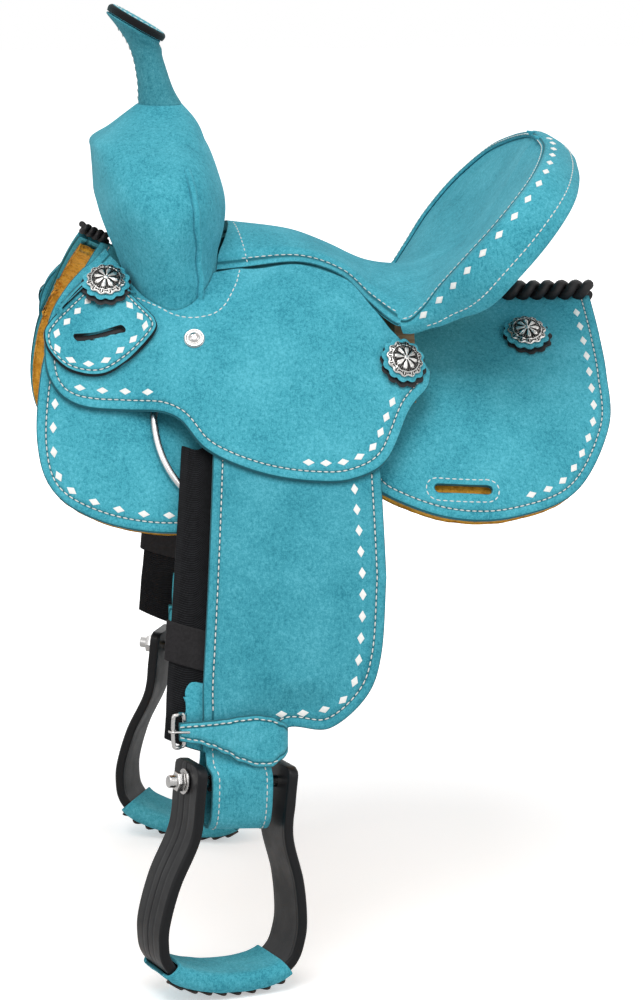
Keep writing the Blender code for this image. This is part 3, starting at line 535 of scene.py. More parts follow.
def cut(piece: Piece, cutter: Piece, keep: bool = False) -> Piece:
    """Cut one piece with another.

    Args:
        piece: what is cut.
        cutter: what cuts it.
        keep: whether the cutter is used again.

    Returns:
        The cut piece.
    """
    modifier = piece.modifiers.new("cut", "BOOLEAN")
    modifier.operation = "DIFFERENCE"
    modifier.solver = "EXACT"
    modifier.object = cutter
    apply_modifiers(piece)
    if not keep:
        bpy.data.objects.remove(cutter)
    return piece


def tube(name: str, points: Sequence[Sequence[float]], radius: float, closed: bool = False,
         resolution: int = 4) -> Piece:
    """Bend a wire along points and make it a mesh.

    Args:
        name: the piece's name.
        points: the middle line.
        radius: the wire's radius.
        closed: whether its ends meet.
        resolution: how round it is.

    Returns:
        The wire.
    """
    curve = bpy.data.curves.new(name, "CURVE")
    curve.dimensions = "3D"
    curve.bevel_depth = radius * MM
    curve.bevel_resolution = resolution
    curve.use_fill_caps = not closed
    spline = curve.splines.new("POLY")
    spline.points.add(len(points) - 1)
    for knot, point in zip(spline.points, points):
        knot.co = (point[0] * MM, point[1] * MM, point[2] * MM, 1)
    spline.use_cyclic_u = closed
    wire = bpy.data.objects.new(name, curve)
    bpy.context.scene.collection.objects.link(wire)
    only(wire)
    bpy.ops.object.convert(target="MESH")
    piece = named(name)
    begin_edit(piece)
    bpy.ops.mesh.remove_doubles(threshold=0.00001)
    bpy.ops.mesh.normals_make_consistent(inside=False)
    end_edit()
    return smooth(piece, 50)


def move_mesh(piece: Piece, matrix: Matrix) -> Piece:
    """Put a piece that was modelled at the origin, in millimetres, in its place."""
    piece.data.transform(Matrix.Scale(MM, 4) @ matrix)
    piece.data.update()
    return piece


def join(pieces: Sequence[Piece], name: str) -> Piece:
    """Join pieces into one.

    Args:
        pieces: what is joined.
        name: its name.

    Returns:
        The joined piece.
    """
    only(pieces[0])
    for piece in pieces:
        piece.select_set(True)
    if len(pieces) > 1:
        bpy.ops.object.join()
    return named(name)


def stamp(name: str, seed: Piece, frames: Sequence[Matrix]) -> Piece:
    """Copy a modelled seed to every frame, as one piece.

    Args:
        name: the new piece's name.
        seed: what is copied, modelled at the origin in millimetres.
        frames: a place for each copy, in millimetres.

    Returns:
        The piece with all the copies.
    """
    seed_points = np.array([v.co for v in seed.data.vertices])
    faces = [list(p.vertices) for p in seed.data.polygons]
    points, corners = [], []
    for index, place in enumerate(frames):
        spot = np.array(place)
        points.append(seed_points @ spot[:3, :3].T + spot[:3, 3])
        corners += [[v + index * len(seed_points) for v in face] for face in faces]
    mesh = bpy.data.meshes.new(name)
    mesh.from_pydata((np.vstack(points) * MM).tolist(), [], corners)
    piece = bpy.data.objects.new(name, mesh)
    bpy.context.scene.collection.objects.link(piece)
    return smooth(piece, 60)


def put_value(piece: Piece, name: str, values: Sequence[float]) -> None:
    """Store one number for each vertex, for the finish to read."""
    layer = piece.data.attributes.get(name) or piece.data.attributes.new(name, "FLOAT", "POINT")
    layer.data.foreach_set("value", np.asarray(values, np.float32))


def vertices_of(piece: Piece) -> np.ndarray:
    """A piece's points in millimetres, one a row."""
    flat = np.empty(len(piece.data.vertices) * 3)
    piece.data.vertices.foreach_get("co", flat)
    return flat.reshape(-1, 3) / MM


def rounded_ring(half: float, low: float, high: float, corner: float, count: int,
                 way: int = 1) -> np.ndarray:
    """Ring of a rectangle with rounded corners.

    Args:
        half: half of its width.
        low: its lower edge.
        high: its upper edge.
        corner: radius of its corners.
        count: how many points to return.
        way: 1 for anticlockwise from the lower right corner, -1 for clockwise from the
            upper right one.

    Returns:
        The closed ring, one point a row.
    """
    right, left, top, bottom = half - corner, corner - half, high - corner, low + corner
    if way > 0:
        corners = ((right, bottom, -90), (right, top, 0), (left, top, 90), (left, bottom, 180))
    else:
        corners = ((right, top, 90), (right, bottom, 0), (left, bottom, -90), (left, top, -180))
    points = []
    for x, y, start in corners:
        for angle in (math.radians(start + way * 22.5 * step) for step in range(5)):
            points.append((x + corner * math.cos(angle), y + corner * math.sin(angle)))
    return respaced(np.array(points + points[:1]), count)


def spun(name: str, profile: Sequence[Place], count: int) -> Piece:
    """Model a round piece from its profile of radius and height.

    Args:
        name: the piece's name.
        profile: the profile from the middle of the top to the middle of the back.
        count: faces round it.

    Returns:
        The piece, modelled at the origin in millimetres.
    """
    def place(u: float, v: float) -> Vector:
        radius, height = profile[int(round(v * (len(profile) - 1)))]
        angle = 2 * math.pi * u
        return Vector((radius * math.cos(angle), radius * math.sin(angle), height))

    piece = grid(name, count, len(profile) - 1, place)
    piece.data.transform(Matrix.Scale(1 / MM, 4))
    return piece


def scale_uv(piece: Piece, width: float, length: float) -> None:
    """Make a piece's UV map count millimetres.

    Args:
        piece: what it works on.
        width: across, in millimetres.
        length: along, in millimetres.
    """
    layer = piece.data.uv_layers[0]
    flat = np.empty(len(layer.data) * 2, np.float32)
    layer.data.foreach_get("uv", flat)
    flat = flat.reshape(-1, 2) * np.array([width, length], np.float32)
    layer.data.foreach_set("uv", flat.ravel())


# Finishes

class Shader:
    """Adds and joins the nodes of one material."""

    def __init__(self, name: str) -> None:
        """Start a material with a Principled shader.

        Args:
            name: its name.
        """
        self.material = bpy.data.materials.new(name)
        self.material.use_nodes = True
        self.tree = self.material.node_tree
        self.surface = self.tree.nodes["Principled BSDF"]

    def node(self, kind: str, *values: object, **settings: object) -> bpy.types.Node:
        """Add a node.

        Args:
            kind: the node's type, without its prefix.
            *values: what its first inputs get, in order; None leaves one alone.
            **settings: the node's own settings.

        Returns:
            The node.
        """
        item = self.tree.nodes.new("ShaderNode" + kind)
        for key, value in settings.items():
            setattr(item, key, value)
        for socket, value in zip(item.inputs, values):
            self.feed(socket, value)
        return item

    def feed(self, socket: bpy.types.NodeSocket, value: object) -> None:
        """Give a socket a value or join it to another one.

        Args:
            socket: the input.
            value: a number, a colour or another node's output.
        """
        if value is None:
            return
        if isinstance(value, bpy.types.NodeSocket):
            self.tree.links.new(value, socket)
        else:
            socket.default_value = value

    def math(self, operation: str, *values: object, clamp: bool = False) -> bpy.types.NodeSocket:
        """Work out a number."""
        return self.node("Math", *values, operation=operation, use_clamp=clamp).outputs[0]

    def weighted(self, *terms: tuple[object, float]) -> bpy.types.NodeSocket:
        """Add up numbers, each times its weight.

        Args:
            *terms: each number with its weight.

        Returns:
            The sum's output.
        """
        total = None
        for value, weight in terms:
            part = self.math("MULTIPLY", value, weight)
            total = part if total is None else self.math("ADD", total, part)
        return total

    def soft(self, value: object, low: float, high: float, start: float = 0.0,
             end: float = 1.0) -> bpy.types.NodeSocket:
        """Go smoothly from start to end while value goes from low to high.

        Args:
            value: a number, a colour or another node's output.
            low: value where it starts.
            high: value where it ends.
            start: what it starts from.
            end: what it goes to.

        Returns:
            The result's output.
        """
        item = self.node("MapRange", interpolation_type="SMOOTHSTEP")
        for name, number in (("Value", value), ("From Min", low), ("From Max", high),
                             ("To Min", start), ("To Max", end)):
            self.feed(item.inputs[name], number)
        return item.outputs[0]

    def blend(self, share: object, first: object, second: object) -> bpy.types.NodeSocket:
        """Mix two colours.

        Args:
            share: how much of the second.
            first: colour at 0.
            second: colour at 1.

        Returns:
            The mixed colour's output.
        """
        item = self.node("Mix", data_type="RGBA")
        sockets = [s for s in item.inputs if s.enabled]
        for socket, value in zip(sockets, (share, first, second)):
            if isinstance(value, tuple) and len(value) == 3:
                value = (*value, 1.0)
            self.feed(socket, value)
        return next(s for s in item.outputs if s.enabled)

    def noise(self, where: object, scale: float, detail: float = 3.0,
              rough: float = 0.55) -> bpy.types.NodeSocket:
        """Cloudy noise, from 0 to 1.

        Args:
            where: the texture's place.
            scale: how fine it is.
            detail: how many layers it has.
            rough: how strong the finer layers are.

        Returns:
            The noise's output.
        """
        item = self.node("TexNoise")
        for name, value in (("Vector", where), ("Scale", scale), ("Detail", detail),
                            ("Roughness", rough)):
            self.feed(item.inputs[name], value)
        return item.outputs["Fac"]

    def value(self, name: str) -> bpy.types.NodeSocket:
        """Number that a mesh stores for each vertex."""
        return self.node("Attribute", attribute_name=name).outputs["Fac"]

    def place(self) -> bpy.types.NodeSocket:
        """Object coordinates."""
        return self.node("TexCoord").outputs["Object"]

    def uv(self) -> tuple[bpy.types.NodeSocket, bpy.types.NodeSocket]:
        """The two UV numbers."""
        split = self.node("SeparateXYZ", self.node("TexCoord").outputs["UV"])
        return split.outputs[0], split.outputs[1]

    def relief(self, height: object) -> None:
        """Bump the surface by a height in metres.

        Args:
            height: the height in metres.
        """
        bump = self.node("Bump")
        bump.inputs["Strength"].default_value = 1.0
        bump.inputs["Distance"].default_value = 1.0
        self.feed(bump.inputs["Height"], height)
        self.tree.links.new(bump.outputs[0], self.surface.inputs["Normal"])

    def set(self, **values: object) -> None:
        """Set the Principled shader's sockets by name, with _ for a space."""
        for key, value in values.items():
            if isinstance(value, tuple) and len(value) == 3:
                value = (*value, 1.0)
            self.feed(self.surface.inputs[key.replace("_", " ")], value)


@dataclass(frozen=True)
class Suede:
    """Rough-out suede with a brushed nap, a pressed seam and black cut edges."""

    name: str = "turquoise_suede"
    light: Colour = (0.115, 0.500, 0.610)
    middle: Colour = (0.066, 0.385, 0.480)
    dark: Colour = (0.032, 0.255, 0.335)
    # Colour of the seam groove, which is partly the pressed nap's own darker tone and partly painted shade.
    groove: Colour = (0.012, 0.110, 0.140)
    edge: Colour = (0.018, 0.135, 0.170)
    seam: float = 6.6
    puff: float = 0.0012
    nap: float = 0.00022

    def build(self) -> bpy.types.Material:
        """Make the material.

        Returns:
            The material.
        """
        s = Shader(self.name)
        place = s.place()
        nap = s.noise(place, 1150, 3, 0.75)
        grain = s.noise(place, 430, 4, 0.7)
        cloud = s.noise(place, 26, 5, 0.62)
        fibre = s.noise(s.node("Mapping", place, None, None, (1, 1, 0.3)).outputs[0], 620, 3, 0.7)
        tone = s.weighted((nap, 0.30), (grain, 0.28), (cloud, 0.24), (fibre, 0.18))
        colour = s.blend(s.soft(tone, 0.415, 0.50), self.dark, self.middle)
        colour = s.blend(s.soft(tone, 0.50, 0.585), colour, self.light)
        rim = s.value("rim")
        away = s.math("ABSOLUTE", s.math("SUBTRACT", rim, self.seam))
        groove = s.soft(away, 1.3, 0.3)
        # Darken the seam groove: pressed nap and painted shade in the groove.
        colour = s.blend(s.math("MULTIPLY", groove, 0.85), colour, self.groove)
        share = s.math("DIVIDE", rim, self.seam, clamp=True)
        band = s.math("MULTIPLY", s.math("MULTIPLY", share, s.math("SUBTRACT", 1.0, share)), 3.6)
        inner = s.soft(rim, self.seam, self.seam + 3.2, 0.0, 0.8)
        edge = s.soft(s.value("cut"), 0.62, 0.3)
        colour = s.blend(edge, colour, self.edge)
        s.relief(s.weighted((s.math("ADD", band, inner), self.puff), (nap, self.nap), (grain, self.nap),
                            (cloud, 0.0012)))
        s.set(Base_Color=colour, Roughness=0.95, Specular_IOR_Level=0.12, Sheen_Weight=0.16,
              Sheen_Roughness=0.5, Sheen_Tint=(0.55, 0.9, 0.95))
        return s.material


@dataclass(frozen=True)
class Wool:
    """Dyed fleece with curly clumps."""

    name: str = "orange_fleece"
    light: Colour = (0.920, 0.460, 0.060)
    dark: Colour = (0.600, 0.250, 0.020)

    def build(self) -> bpy.types.Material:
        """Make the material.

        Returns:
            The material.
        """
        s = Shader(self.name)
        place = s.place()
        curl = s.noise(place, 330, 4, 0.7)
        clump = s.noise(place, 95, 3, 0.6)
        tone = s.weighted((curl, 0.6), (clump, 0.4))
        s.relief(s.weighted((curl, 0.0016), (clump, 0.003)))
        s.set(Base_Color=s.blend(s.soft(tone, 0.36, 0.6), self.dark, self.light), Roughness=1.0,
              Specular_IOR_Level=0.08, Sheen_Weight=0.3, Sheen_Roughness=0.4,
              Sheen_Tint=(1.0, 0.8, 0.5))
        return s.material


@dataclass(frozen=True)
class Leather:
    """Smooth leather, plastic or thread: one colour with a grain."""

    name: str
    colour: Colour
    rough: float = 0.55
    grain: float = 420.0
    depth: float = 0.00012
    spread: float = 0.35
    shine: float = 0.4

    def build(self) -> bpy.types.Material:
        """Make the material.

        Returns:
            The material.
        """
        s = Shader(self.name)
        place = s.place()
        fine = s.noise(place, self.grain, 4, 0.65)
        cloud = s.noise(place, 45, 3, 0.6)
        low = tuple(c * (1 - self.spread) for c in self.colour)
        high = tuple(min(c * (1 + self.spread), 1.0) for c in self.colour)
        tone = s.weighted((fine, 0.6), (cloud, 0.4))
        s.relief(s.math("MULTIPLY", fine, self.depth))
        s.set(Base_Color=s.blend(s.soft(tone, 0.34, 0.64), low, high),
              Roughness=s.soft(cloud, 0.3, 0.7, self.rough - 0.06, self.rough + 0.06),
              Specular_IOR_Level=self.shine)
        return s.material


@dataclass(frozen=True)
class Webbing:
    """Black nylon webbing with ribs across it. Its UV map counts millimetres."""

    name: str = "black_webbing"
    pitch: float = 1.8
    width: float = 44.0

    def build(self) -> bpy.types.Material:
        """Make the material.

        Returns:
            The material.
        """
        s = Shader(self.name)
        across, along = s.uv()
        rib = s.math("ABSOLUTE", s.math("SINE", s.math("MULTIPLY", along, math.pi / self.pitch)))
        yarn = s.math("ABSOLUTE", s.math("SINE", s.math("MULTIPLY", across, math.pi / 1.5)))
        border = s.math("MINIMUM", across, s.math("SUBTRACT", self.width, across))
        flat = s.soft(border, 2.6, 3.4)
        s.relief(s.weighted((s.math("MULTIPLY", rib, flat), 0.00055), (yarn, 0.00012)))
        # The colour is partly the yarn's random tone and partly painted shade and highlight: darker in the
        # valleys between ribs, lighter on their crests.
        tone = s.math("MULTIPLY", rib, s.noise(s.place(), 260, 3, 0.6))
        s.set(Base_Color=s.blend(tone, (0.003, 0.003, 0.0035), (0.022, 0.023, 0.026)),
              Roughness=0.82, Specular_IOR_Level=0.15)
        return s.material


@dataclass(frozen=True)
class Metal:
    """Bright metal; where a piece stores its relief, its low places are darkened."""

    name: str
    colour: Colour = (0.55, 0.55, 0.55)
    dark: Colour = (0.55, 0.55, 0.55)
    rough: float = 0.2

    def build(self) -> bpy.types.Material:
        """Make the material.

        Returns:
            The material.
        """
        s = Shader(self.name)
        place = s.place()
        wear = s.noise(place, 160, 3, 0.6)
        shine = s.noise(place, 900, 2, 0.5)
        high = s.soft(s.value("relief"), 0.25, 0.75)
        s.relief(s.math("MULTIPLY", shine, 0.00003))
        s.set(Base_Color=s.blend(high, self.dark, self.colour), Metallic=1.0,
              Roughness=s.soft(wear, 0.3, 0.7, self.rough, self.rough + 0.12))
        return s.material


@dataclass(frozen=True)
class Timber:
    """Plain wood of the tree."""

    name: str = "tree_wood"
    light: Colour = (0.50, 0.33, 0.18)
    dark: Colour = (0.33, 0.20, 0.10)

    def build(self) -> bpy.types.Material:
        """Make the material.

        Returns:
            The material.
        """
        s = Shader(self.name)
        stretched = s.node("Mapping", s.place(), None, None, (0.12, 1, 1)).outputs[0]
        rings = s.noise(stretched, 170, 5, 0.7)
        s.relief(s.math("MULTIPLY", rings, 0.0004))
        s.set(Base_Color=s.blend(s.soft(rings, 0.35, 0.65), self.dark, self.light), Roughness=0.75)
        return s.material


SUEDE = Suede()
PLAIN_SUEDE = Suede(name="turquoise_suede_plain", puff=0.0)
# Darker copy of the same suede for the fender: painted shade.
FENDER_SHADED_SUEDE = Suede(name="turquoise_suede_fender", light=(0.096, 0.425, 0.525),
                     middle=(0.055, 0.328, 0.412), dark=(0.027, 0.220, 0.290))
# Darker copy of the same suede for the horn's neck: painted shade.
NECK_SHADED_SUEDE = Suede(name="turquoise_suede_neck", light=(0.098, 0.360, 0.430),
                   middle=(0.058, 0.278, 0.338), dark=(0.030, 0.190, 0.240), puff=0.0)
DYED_EDGE = Suede(name="turquoise_suede_black_edge", edge=(0.010, 0.009, 0.010), seam=3.0, puff=0.0006)
CUT_SHAPE = Suede(name="turquoise_suede_cut_shape", edge=(0.010, 0.009, 0.010), seam=90.0, puff=0.0)
FLEECE = Wool()
BLACK_LEATHER = Leather("black_leather_lace", (0.012, 0.011, 0.012), rough=0.55, shine=0.3)
KEEPER_LEATHER = Leather("black_strap_leather", (0.013, 0.012, 0.013), rough=0.68, depth=0.0002,
                         shine=0.2)
BROWN_LACE = Leather("dark_brown_lace", (0.030, 0.014, 0.009), rough=0.55)
THREAD = Leather("white_thread", (0.74, 0.74, 0.70), rough=0.75, grain=1800, depth=0.0002, spread=0.12)
WHITE_LACE = Leather("white_lacing", (0.86, 0.86, 0.83), rough=0.6, spread=0.05)
PLASTIC = Leather("black_moulding", (0.0055, 0.0058, 0.0068), rough=0.42, grain=700, depth=0.00006,
                  spread=0.15, shine=0.22)
WEBBING = Webbing()
STAINLESS = Metal("stainless_steel")
CHROME = Metal("nickel_plate", colour=(0.52, 0.51, 0.50), dark=(0.52, 0.51, 0.50), rough=0.16)
SILVER = Metal("antiqued_silver", colour=(0.58, 0.57, 0.55), dark=(0.022, 0.021, 0.020), rough=0.26)
TIMBER = Timber()
IRON = Leather("cast_iron", (0.10, 0.10, 0.10), rough=0.6)
GROUND_LEATHER = Leather("ground_seat_leather", (0.035, 0.24, 0.29), rough=0.9)
# Dark teal for the thin line of painted shade beside each fork welt.
WELT_SHADE = Leather("welt_crease", (0.012, 0.10, 0.12), rough=0.95)
STRAP_SUEDE = Suede(name="turquoise_suede_strap", seam=3.4)
ROLL_SUEDE = Suede(name="turquoise_suede_roll", seam=2.8)


@lru_cache(maxsize=None)
def material_of(finish: object) -> bpy.types.Material:
    """Build a finish once and keep it."""
    return finish.build()


def dress(piece: Piece, finish: object, slot: Slot, body: str,
          *nodes: str, blend: Optional[Blend] = None) -> Piece:
    """Give a piece its finish and, unless it has a blend, its body, and hide the nodes that it stands for.

    Args:
        piece: the finished piece.
        finish: one of the finishes.
        slot: the record's material slot. Not used.
        body: the body that it rides on.
        *nodes: CAD nodes that it replaces.
        blend: the body below it and where the bend starts and ends, in metres, where the piece crosses a
            joint. Such a piece is only baked in place, with no body and no bend.

    Returns:
        The same piece.
    """
    for name in ("rim", "cut"):
        if isinstance(finish, Suede) and name not in piece.data.attributes:
            put_value(piece, name, [FAR_FROM_EDGE] * len(piece.data.vertices))
    if isinstance(finish, Metal) and "relief" not in piece.data.attributes:
        put_value(piece, "relief", [1.0] * len(piece.data.vertices))
    piece.data.materials.clear()
    piece.data.materials.append(material_of(finish))
    if blend:
        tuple(blend[1])
        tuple(blend[2])
        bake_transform(piece)
    else:
        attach(piece, body)
    if nodes:
        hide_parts(*nodes)
    LOG.info("%s: %d points", piece.name, len(piece.data.vertices))
    return piece


# Thread and lacing

@dataclass(frozen=True)
class Sewing:
    """Stitches and lacing diamonds laid along lines."""

    pitch: float = 4.5
    stitch: float = 3.5
    thread: float = 0.95
    diamond_long: float = 8.6
    diamond_wide: float = 5.2

    @staticmethod
    def frames(points: Sequence[Vector], normals: Sequence[Vector], pitch: float,
               count: int = 0) -> list[Matrix]:
        """Space frames evenly along a line.

        Args:
            points: the line.
            normals: the surface's normal at each point.
            pitch: the distance between frames.
            count: how many frames to make, in place of a pitch.

        Returns:
            Frames with X along the line and Z out of the surface.
        """
        line = np.array(points)
        length = float(np.linalg.norm(np.diff(line, axis=0), axis=1).sum())
        number = count or max(int(length / pitch), 2)
        both = np.hstack([line, np.array(normals)])
        spans = np.linalg.norm(np.diff(line, axis=0), axis=1)
        even = respaced(both, number, spans)
        runs = np.gradient(respaced(both, max(number, 3), spans)[:, :3], axis=0) if number > 2 else \
            np.repeat([line[-1] - line[0]], number, axis=0)
        result = []
        for row, run in zip(even, runs):
            up = Vector(row[3:]).normalized()
            along = Vector(run)
            along = (along - up * along.dot(up)).normalized()
            spot = Matrix((along, up.cross(along), up)).transposed().to_4x4()
            spot.translation = Vector(row[:3])
            result.append(spot)
        return result

    def seed_stitch(self) -> Piece:
        """Model one stitch, a short plump thread.

        Returns:
            The stitch.
        """
        bpy.ops.object.select_all(action="DESELECT")
        bpy.ops.mesh.primitive_uv_sphere_add(segments=6, ring_count=5, radius=1)
        seed = named("seed_stitch")
        begin_edit(seed)
        bpy.ops.transform.rotate(value=math.pi / 2, orient_axis="Y", center_override=(0, 0, 0))
        bpy.ops.transform.resize(value=(self.stitch / 2, self.thread / 2, self.thread * 0.42))
        end_edit()
        return seed

    def seed_diamond(self) -> Piece:
        """Model one lacing diamond with bevelled edges.

        Returns:
            The diamond.
        """
        bpy.ops.object.select_all(action="DESELECT")
        bpy.ops.mesh.primitive_cylinder_add(vertices=4, radius=1, depth=1)
        seed = named("seed_diamond")
        begin_edit(seed)
        bpy.ops.transform.resize(value=(self.diamond_long / 2, self.diamond_wide / 2, 0.7))
        end_edit()
        add_bevel(seed, 0.25, 2)
        return apply_modifiers(seed)


SEWING = Sewing()


def line_on(surface: Surface, flat: Sequence[Place], side: Side) -> tuple[list[Vector], list[Vector]]:
    """Lay a flat line on a surface of x and s.

    Args:
        surface: the surface, in millimetres.
        flat: the line's points.
        side: the saddle's side, which tells the outward way.

    Returns:
        The points and the normals.
    """
    points, normals = [], []
    for x, s in flat:
        along = surface(x + 0.6, s) - surface(x - 0.6, s)
        down = surface(x, s + 0.6) - surface(x, s - 0.6)
        points.append(surface(x, s))
        normals.append((along.cross(down) * side.value).normalized())
    return points, normals


def frame_on(surface: Surface, place: Place, side: Side, depth: float = 0.0, turn: float = 0.0,
             reach: float = 0.0) -> Matrix:
    """Frame on a surface, with Z out of it and X along the saddle.

    Args:
        surface: the surface, in millimetres.
        place: its x and s.
        side: the saddle's side.
        depth: how far out of the surface the frame lies.
        turn: turn about the normal.
        reach: radius of a flat piece that must clear the surface.

    Returns:
        The frame, in millimetres.
    """
    x, s = place
    step = max(reach, 1.0)
    along = (surface(x + step, s) - surface(x - step, s)).normalized()
    down = (surface(x, s + step) - surface(x, s - step)).normalized()
    normal = (along.cross(down) * side.value).normalized()
    spot = Matrix((along, normal.cross(along), normal)).transposed().to_4x4()
    centre = surface(x, s)
    high = 0.0
    for index in range(12 if reach else 0):
        angle = 2 * math.pi * index / 12
        for share in (0.6, 1.0):
            rim = surface(x + share * reach * math.cos(angle), s + share * reach * math.sin(angle))
            high = max(high, (rim - centre).dot(normal))
    spot.translation = centre + normal * (high + depth)
    return spot @ Matrix.Rotation(turn, 4, "Z")


class Needle:
    """Collects the stitches and diamonds of one body and lays them all at the end."""

    def __init__(self, name: str, body: str, blend: Optional[Blend] = None) -> None:
        """Start with no stitches."""
        self.name, self.body, self.blend = name, body, blend
        self.stitches: list[Matrix] = []
        self.diamonds: list[Matrix] = []

    def sew(self, points: Sequence[Vector], normals: Sequence[Vector]) -> None:
        """Add a row of stitches along a line."""
        if len(points) > 2:
            self.stitches += SEWING.frames(points, normals, SEWING.pitch)

    def lace(self, points: Sequence[Vector], normals: Sequence[Vector], count: int) -> None:
        """Add a row of diamonds along a line."""
        self.diamonds += SEWING.frames(points, normals, 10.0, count)

    def finish(self) -> None:
        """Make the two pieces."""
        for kind, frames, seed, finish in (
                ("stitching", self.stitches, SEWING.seed_stitch(), THREAD),
                ("lacing_diamonds", self.diamonds, SEWING.seed_diamond(), WHITE_LACE)):
            if frames:
                piece = stamp(f"{self.name}_{kind}", seed, frames)
                dress(piece, finish, Slot.SUEDE, self.body, blend=self.blend)
            bpy.data.objects.remove(seed)


# Flat leathers

@dataclass
class Sheet:
    """A leather cut to an outline and laid on a surface of x and s."""

    name: str
    side: Side
    edges: Sequence[tuple[Place, Place]]
    surface: Surface
    thickness: float
    columns: int = 140
    rows: int = 70
    rounding: float = 0.7

    def __post_init__(self) -> None:
        """Work out the outline."""
        lines = smooth_curve([(*upper, *lower) for upper, lower in self.edges], 24)
        spans = np.maximum(np.linalg.norm(np.diff(lines[:, :2], axis=0), axis=1),
                           np.linalg.norm(np.diff(lines[:, 2:], axis=0), axis=1))
        self.lines = respaced(lines, self.columns + 1, spans)
        self.upper = self.lines[:, :2]
        self.lower = self.lines[:, 2:]
        self.shown = np.vstack([self.upper[:1], self.lower, self.upper[-1:]])
        self.outline = np.vstack([self.lower, self.upper[::-1]])

    def flat(self, u: float, v: float) -> Place:
        """Flat place of the grid's u and v.

        Args:
            u: share along the sheet.
            v: share from the upper edge to the lower one.

        Returns:
            Its x and s.
        """
        at = u * self.columns
        low = min(int(at), self.columns - 1)
        row = self.lines[low] + (self.lines[low + 1] - self.lines[low]) * (at - low)
        return (row[0] + (row[2] - row[0]) * v, row[1] + (row[3] - row[1]) * v)

    def model(self) -> Piece:
        """Lay the sheet and give it its wall.

        Returns:
            The sheet's piece.
        """
        piece = grid(self.name, self.columns, self.rows,
                     lambda u, v: self.surface(*self.flat(u, v)), (0, self.side.value, 0.5))
        piece = give_wall(piece, self.thickness, self.rounding)
        return smooth(piece, 50)

    def mark(self, piece: Piece, flat: np.ndarray, holes: Sequence[np.ndarray] = ()) -> None:
        """Store how far each vertex is from the seam's edge and from any cut edge.

        Args:
            piece: the sheet's piece.
            flat: x and s of each vertex.
            holes: outlines of the sheet's holes.
        """
        closed = np.vstack([self.outline, self.outline[:1]])
        edge = distance_to(flat, closed)
        for hole in holes:
            edge = np.minimum(edge, distance_to(flat, hole))
        put_value(piece, "rim", distance_to(flat, self.shown))
        put_value(piece, "cut", edge)

    def mark_back(self, piece: Piece, holes: Sequence[np.ndarray] = ()) -> None:
        """Mark a sheet that lies on the horse's back."""
        points = vertices_of(piece)
        flat = np.array([(x, BACK.way_down(x, y, z)) for x, y, z in points])
        self.mark(piece, flat, holes)

    def seam(self, depth: float) -> np.ndarray:
        """The shown edge moved inwards."""
        return inset(self.shown, depth, self.outline)

    def sew(self, needle: Needle, depth: float) -> None:
        """Sew round the shown edge."""
        self.sew_line(needle, self.seam(depth))

    def sew_line(self, needle: Needle, line: np.ndarray) -> None:
        """Sew along a line, part by part where it has gaps."""
        breaks = np.where(np.linalg.norm(np.diff(line, axis=0), axis=1) > SEAM_GAP)[0]
        for part in np.split(line, breaks + 1):
            needle.sew(*line_on(self.surface, part, self.side))

    def lace(self, needle: Needle, depth: float, start: Place, end: Place, count: int) -> None:
        """Lay diamonds along the shown edge.

        Args:
            needle: what lays them.
            depth: how far inside the edge.
            start: place of the first.
            end: place of the last.
            count: how many.
        """
        line = self.seam(depth)
        first = int(np.argmin(np.linalg.norm(line - np.array(start), axis=1)))
        last = int(np.argmin(np.linalg.norm(line - np.array(end), axis=1)))
        part = line[first:last + 1] if first < last else line[last:first + 1][::-1]
        needle.lace(*line_on(self.surface, part, self.side), count)


def slot_outline(place: Place, length: float, width: float, turn: float = 0.0) -> np.ndarray:
    """Outline of a slot with round ends.

    Args:
        place: its middle.
        length: its length.
        width: its width.
        turn: its turn in the sheet's plane.

    Returns:
        The closed outline in x and s.
    """
    half = (length - width) / 2
    points = []
    for end, start in ((1, -90), (-1, 90)):
        for step in range(9):
            angle = math.radians(start + 22.5 * step)
            points.append((end * half + width / 2 * math.cos(angle), width / 2 * math.sin(angle)))
    points.append(points[0])
    c, s = math.cos(turn), math.sin(turn)
    return np.array([(place[0] + x * c - y * s, place[1] + x * s + y * c) for x, y in points])


def slot_cutter(surface: Surface, outline: np.ndarray, side: Side, depth: float) -> Piece:
    """Model the punch that cuts a slot through a sheet.

    Args:
        surface: point of the leather at an x and s.
        outline: the hole's outline.
        side: the saddle's side.
        depth: how deep.

    Returns:
        The punch.
    """
    ring = outline[:-1]
    centre = ring.mean(axis=0)
    points, normals = line_on(surface, [*map(tuple, ring), tuple(centre)], side)
    normal = normals[-1]
    count = len(ring)

    def place(u: float, v: float) -> Vector:
        return points[int(round(u * count)) % count] + normal * depth * (v - 0.5) * 2

    return close_ends(grid("slot_punch", count, 1, place))


